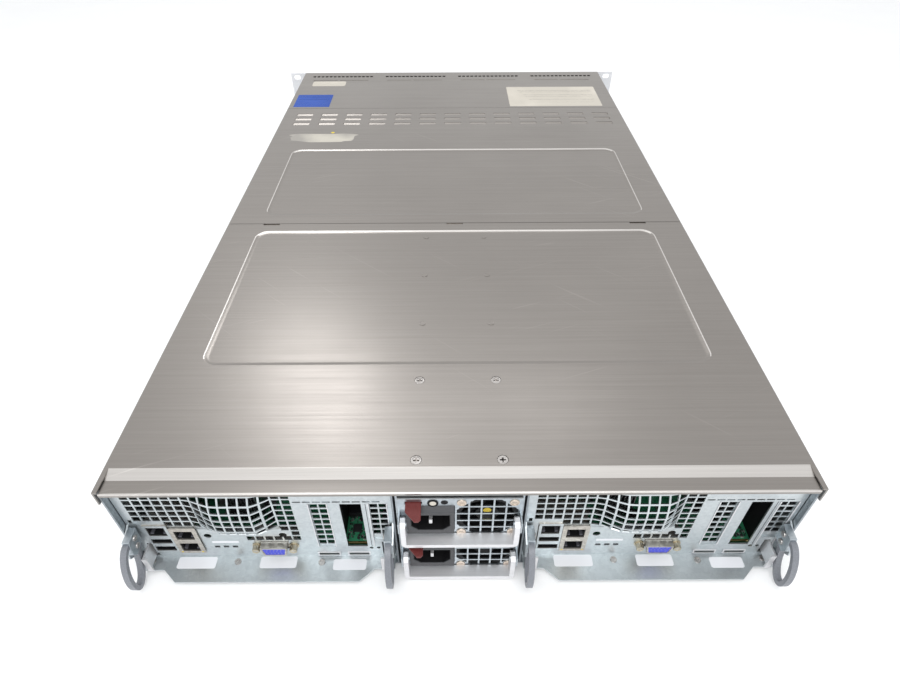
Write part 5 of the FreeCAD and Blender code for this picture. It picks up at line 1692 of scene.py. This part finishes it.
# ---- stage ---------------------------------------------------------------------
@dataclass
class Studio:
    """Floor, lights and camera."""

    lens: float = 24.11
    place: Point = (6.05, 573.87, 394.25)
    turn: Point = (48.2426, 0.1710, 179.7327)

    def build(self) -> None:
        """Set up the stage."""
        self.floor()
        self.world()
        self.light("key", (0.389, -0.640, 1.098), (0.095, 0.30, 0.088), (0.26, 0.34), 1.35)
        self.light("strip", (0.10, -0.62, 1.30), (0.0, 0.30, 0.088), (1.2, 0.36), 1.3)
        self.light("rear_fill", (0.05, 1.25, 0.95), (0.0, 0.36, 0.04), (0.8, 0.4), 6.0)
        self.light("overhead", (0.0, 0.68, 1.45), (0.0, 0.10, 0.06), (0.9, 0.9), 4.0)
        self.camera()

    def floor(self) -> None:
        """Pale floor under the object."""
        bpy.ops.object.select_all(action="DESELECT")
        bpy.ops.mesh.primitive_plane_add(size=14.0, location=(0.0, 0.0, -0.0012))
        plane = bpy.context.active_object
        plane.name = "studio_floor"
        look = Finish("floor_paper", (0.98, 0.98, 0.98), (0.97, 0.97, 0.97), 0.0, 0.7, Texture.PAPER,
                      0.05, 0.0, 0.0, 0.0)
        plane.data.materials.append(look.material())

    def world(self) -> None:
        """White surroundings, softer for the light that they give than for what is seen."""
        world = bpy.data.worlds.new("studio")
        bpy.context.scene.world = world
        world.use_nodes = True
        graph = Graph(world.node_tree)
        path = graph.add("LightPath")
        seen = graph.maths("MAXIMUM", path.outputs["Is Camera Ray"], path.outputs["Is Glossy Ray"])
        seen = graph.maths("MAXIMUM", seen, path.outputs["Is Transmission Ray"])
        soft = graph.add("Background", {"Color": (0.97, 0.985, 1.0, 1.0), "Strength": 0.95})
        white = graph.add("Background", {"Color": (1.0, 1.0, 1.0, 1.0), "Strength": 1.0})
        both = graph.add("MixShader", {0: seen, 1: soft.outputs[0], 2: white.outputs[0]})
        graph.add("OutputWorld", {"Surface": both.outputs[0]})

    def light(self, name: str, place: Point, aim: Point, size: tuple[float, float],
              power: float) -> None:
        """Soft light from a flat rectangle.

        Args:
            name: Its name.
            place: Where it stands, in metres.
            aim: What it looks at, in metres.
            size: Its width and depth, in metres.
            power: Its power in watts.
        """
        data = bpy.data.lights.new(name, "AREA")
        data.energy = power
        data.shape = "RECTANGLE"
        data.size, data.size_y = size
        lamp = bpy.data.objects.new(name, data)
        lamp.location = place
        lamp.rotation_euler = (Vector(aim) - Vector(place)).to_track_quat("-Z", "Y").to_euler()
        bpy.context.scene.collection.objects.link(lamp)

    def camera(self) -> None:
        """Camera above and behind the object."""
        data = bpy.data.cameras.new("camera")
        data.lens = self.lens
        data.sensor_width = 36.0
        data.clip_start = 0.01
        eye = bpy.data.objects.new("camera", data)
        eye.location = Vector(self.place) * MM
        eye.rotation_euler = [math.radians(a) for a in self.turn]
        bpy.context.scene.collection.objects.link(eye)
        bpy.context.scene.camera = eye
        bpy.context.scene.view_settings.view_transform = "Standard"


def coat_construction() -> None:
    """Give every construction piece its finish."""
    for name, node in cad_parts.items():
        look = finish_of(name).material()
        if not node.material_slots:
            node.data.materials.append(look)
        for slot in node.material_slots:
            slot.material = look


def main() -> None:
    """Build the whole model in order and log each piece."""
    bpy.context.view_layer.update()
    coat_construction()
    TopCover().build()
    Sled("a", 129.35).build()
    Sled("b", -129.35).build()
    PowerSupply("low", 1.5).build()
    PowerSupply("high", 42.7).build()
    Front().build()
    Studio().build()
    print("pieces", len(Bench.pieces))


if __name__ == "__main__":
    main()
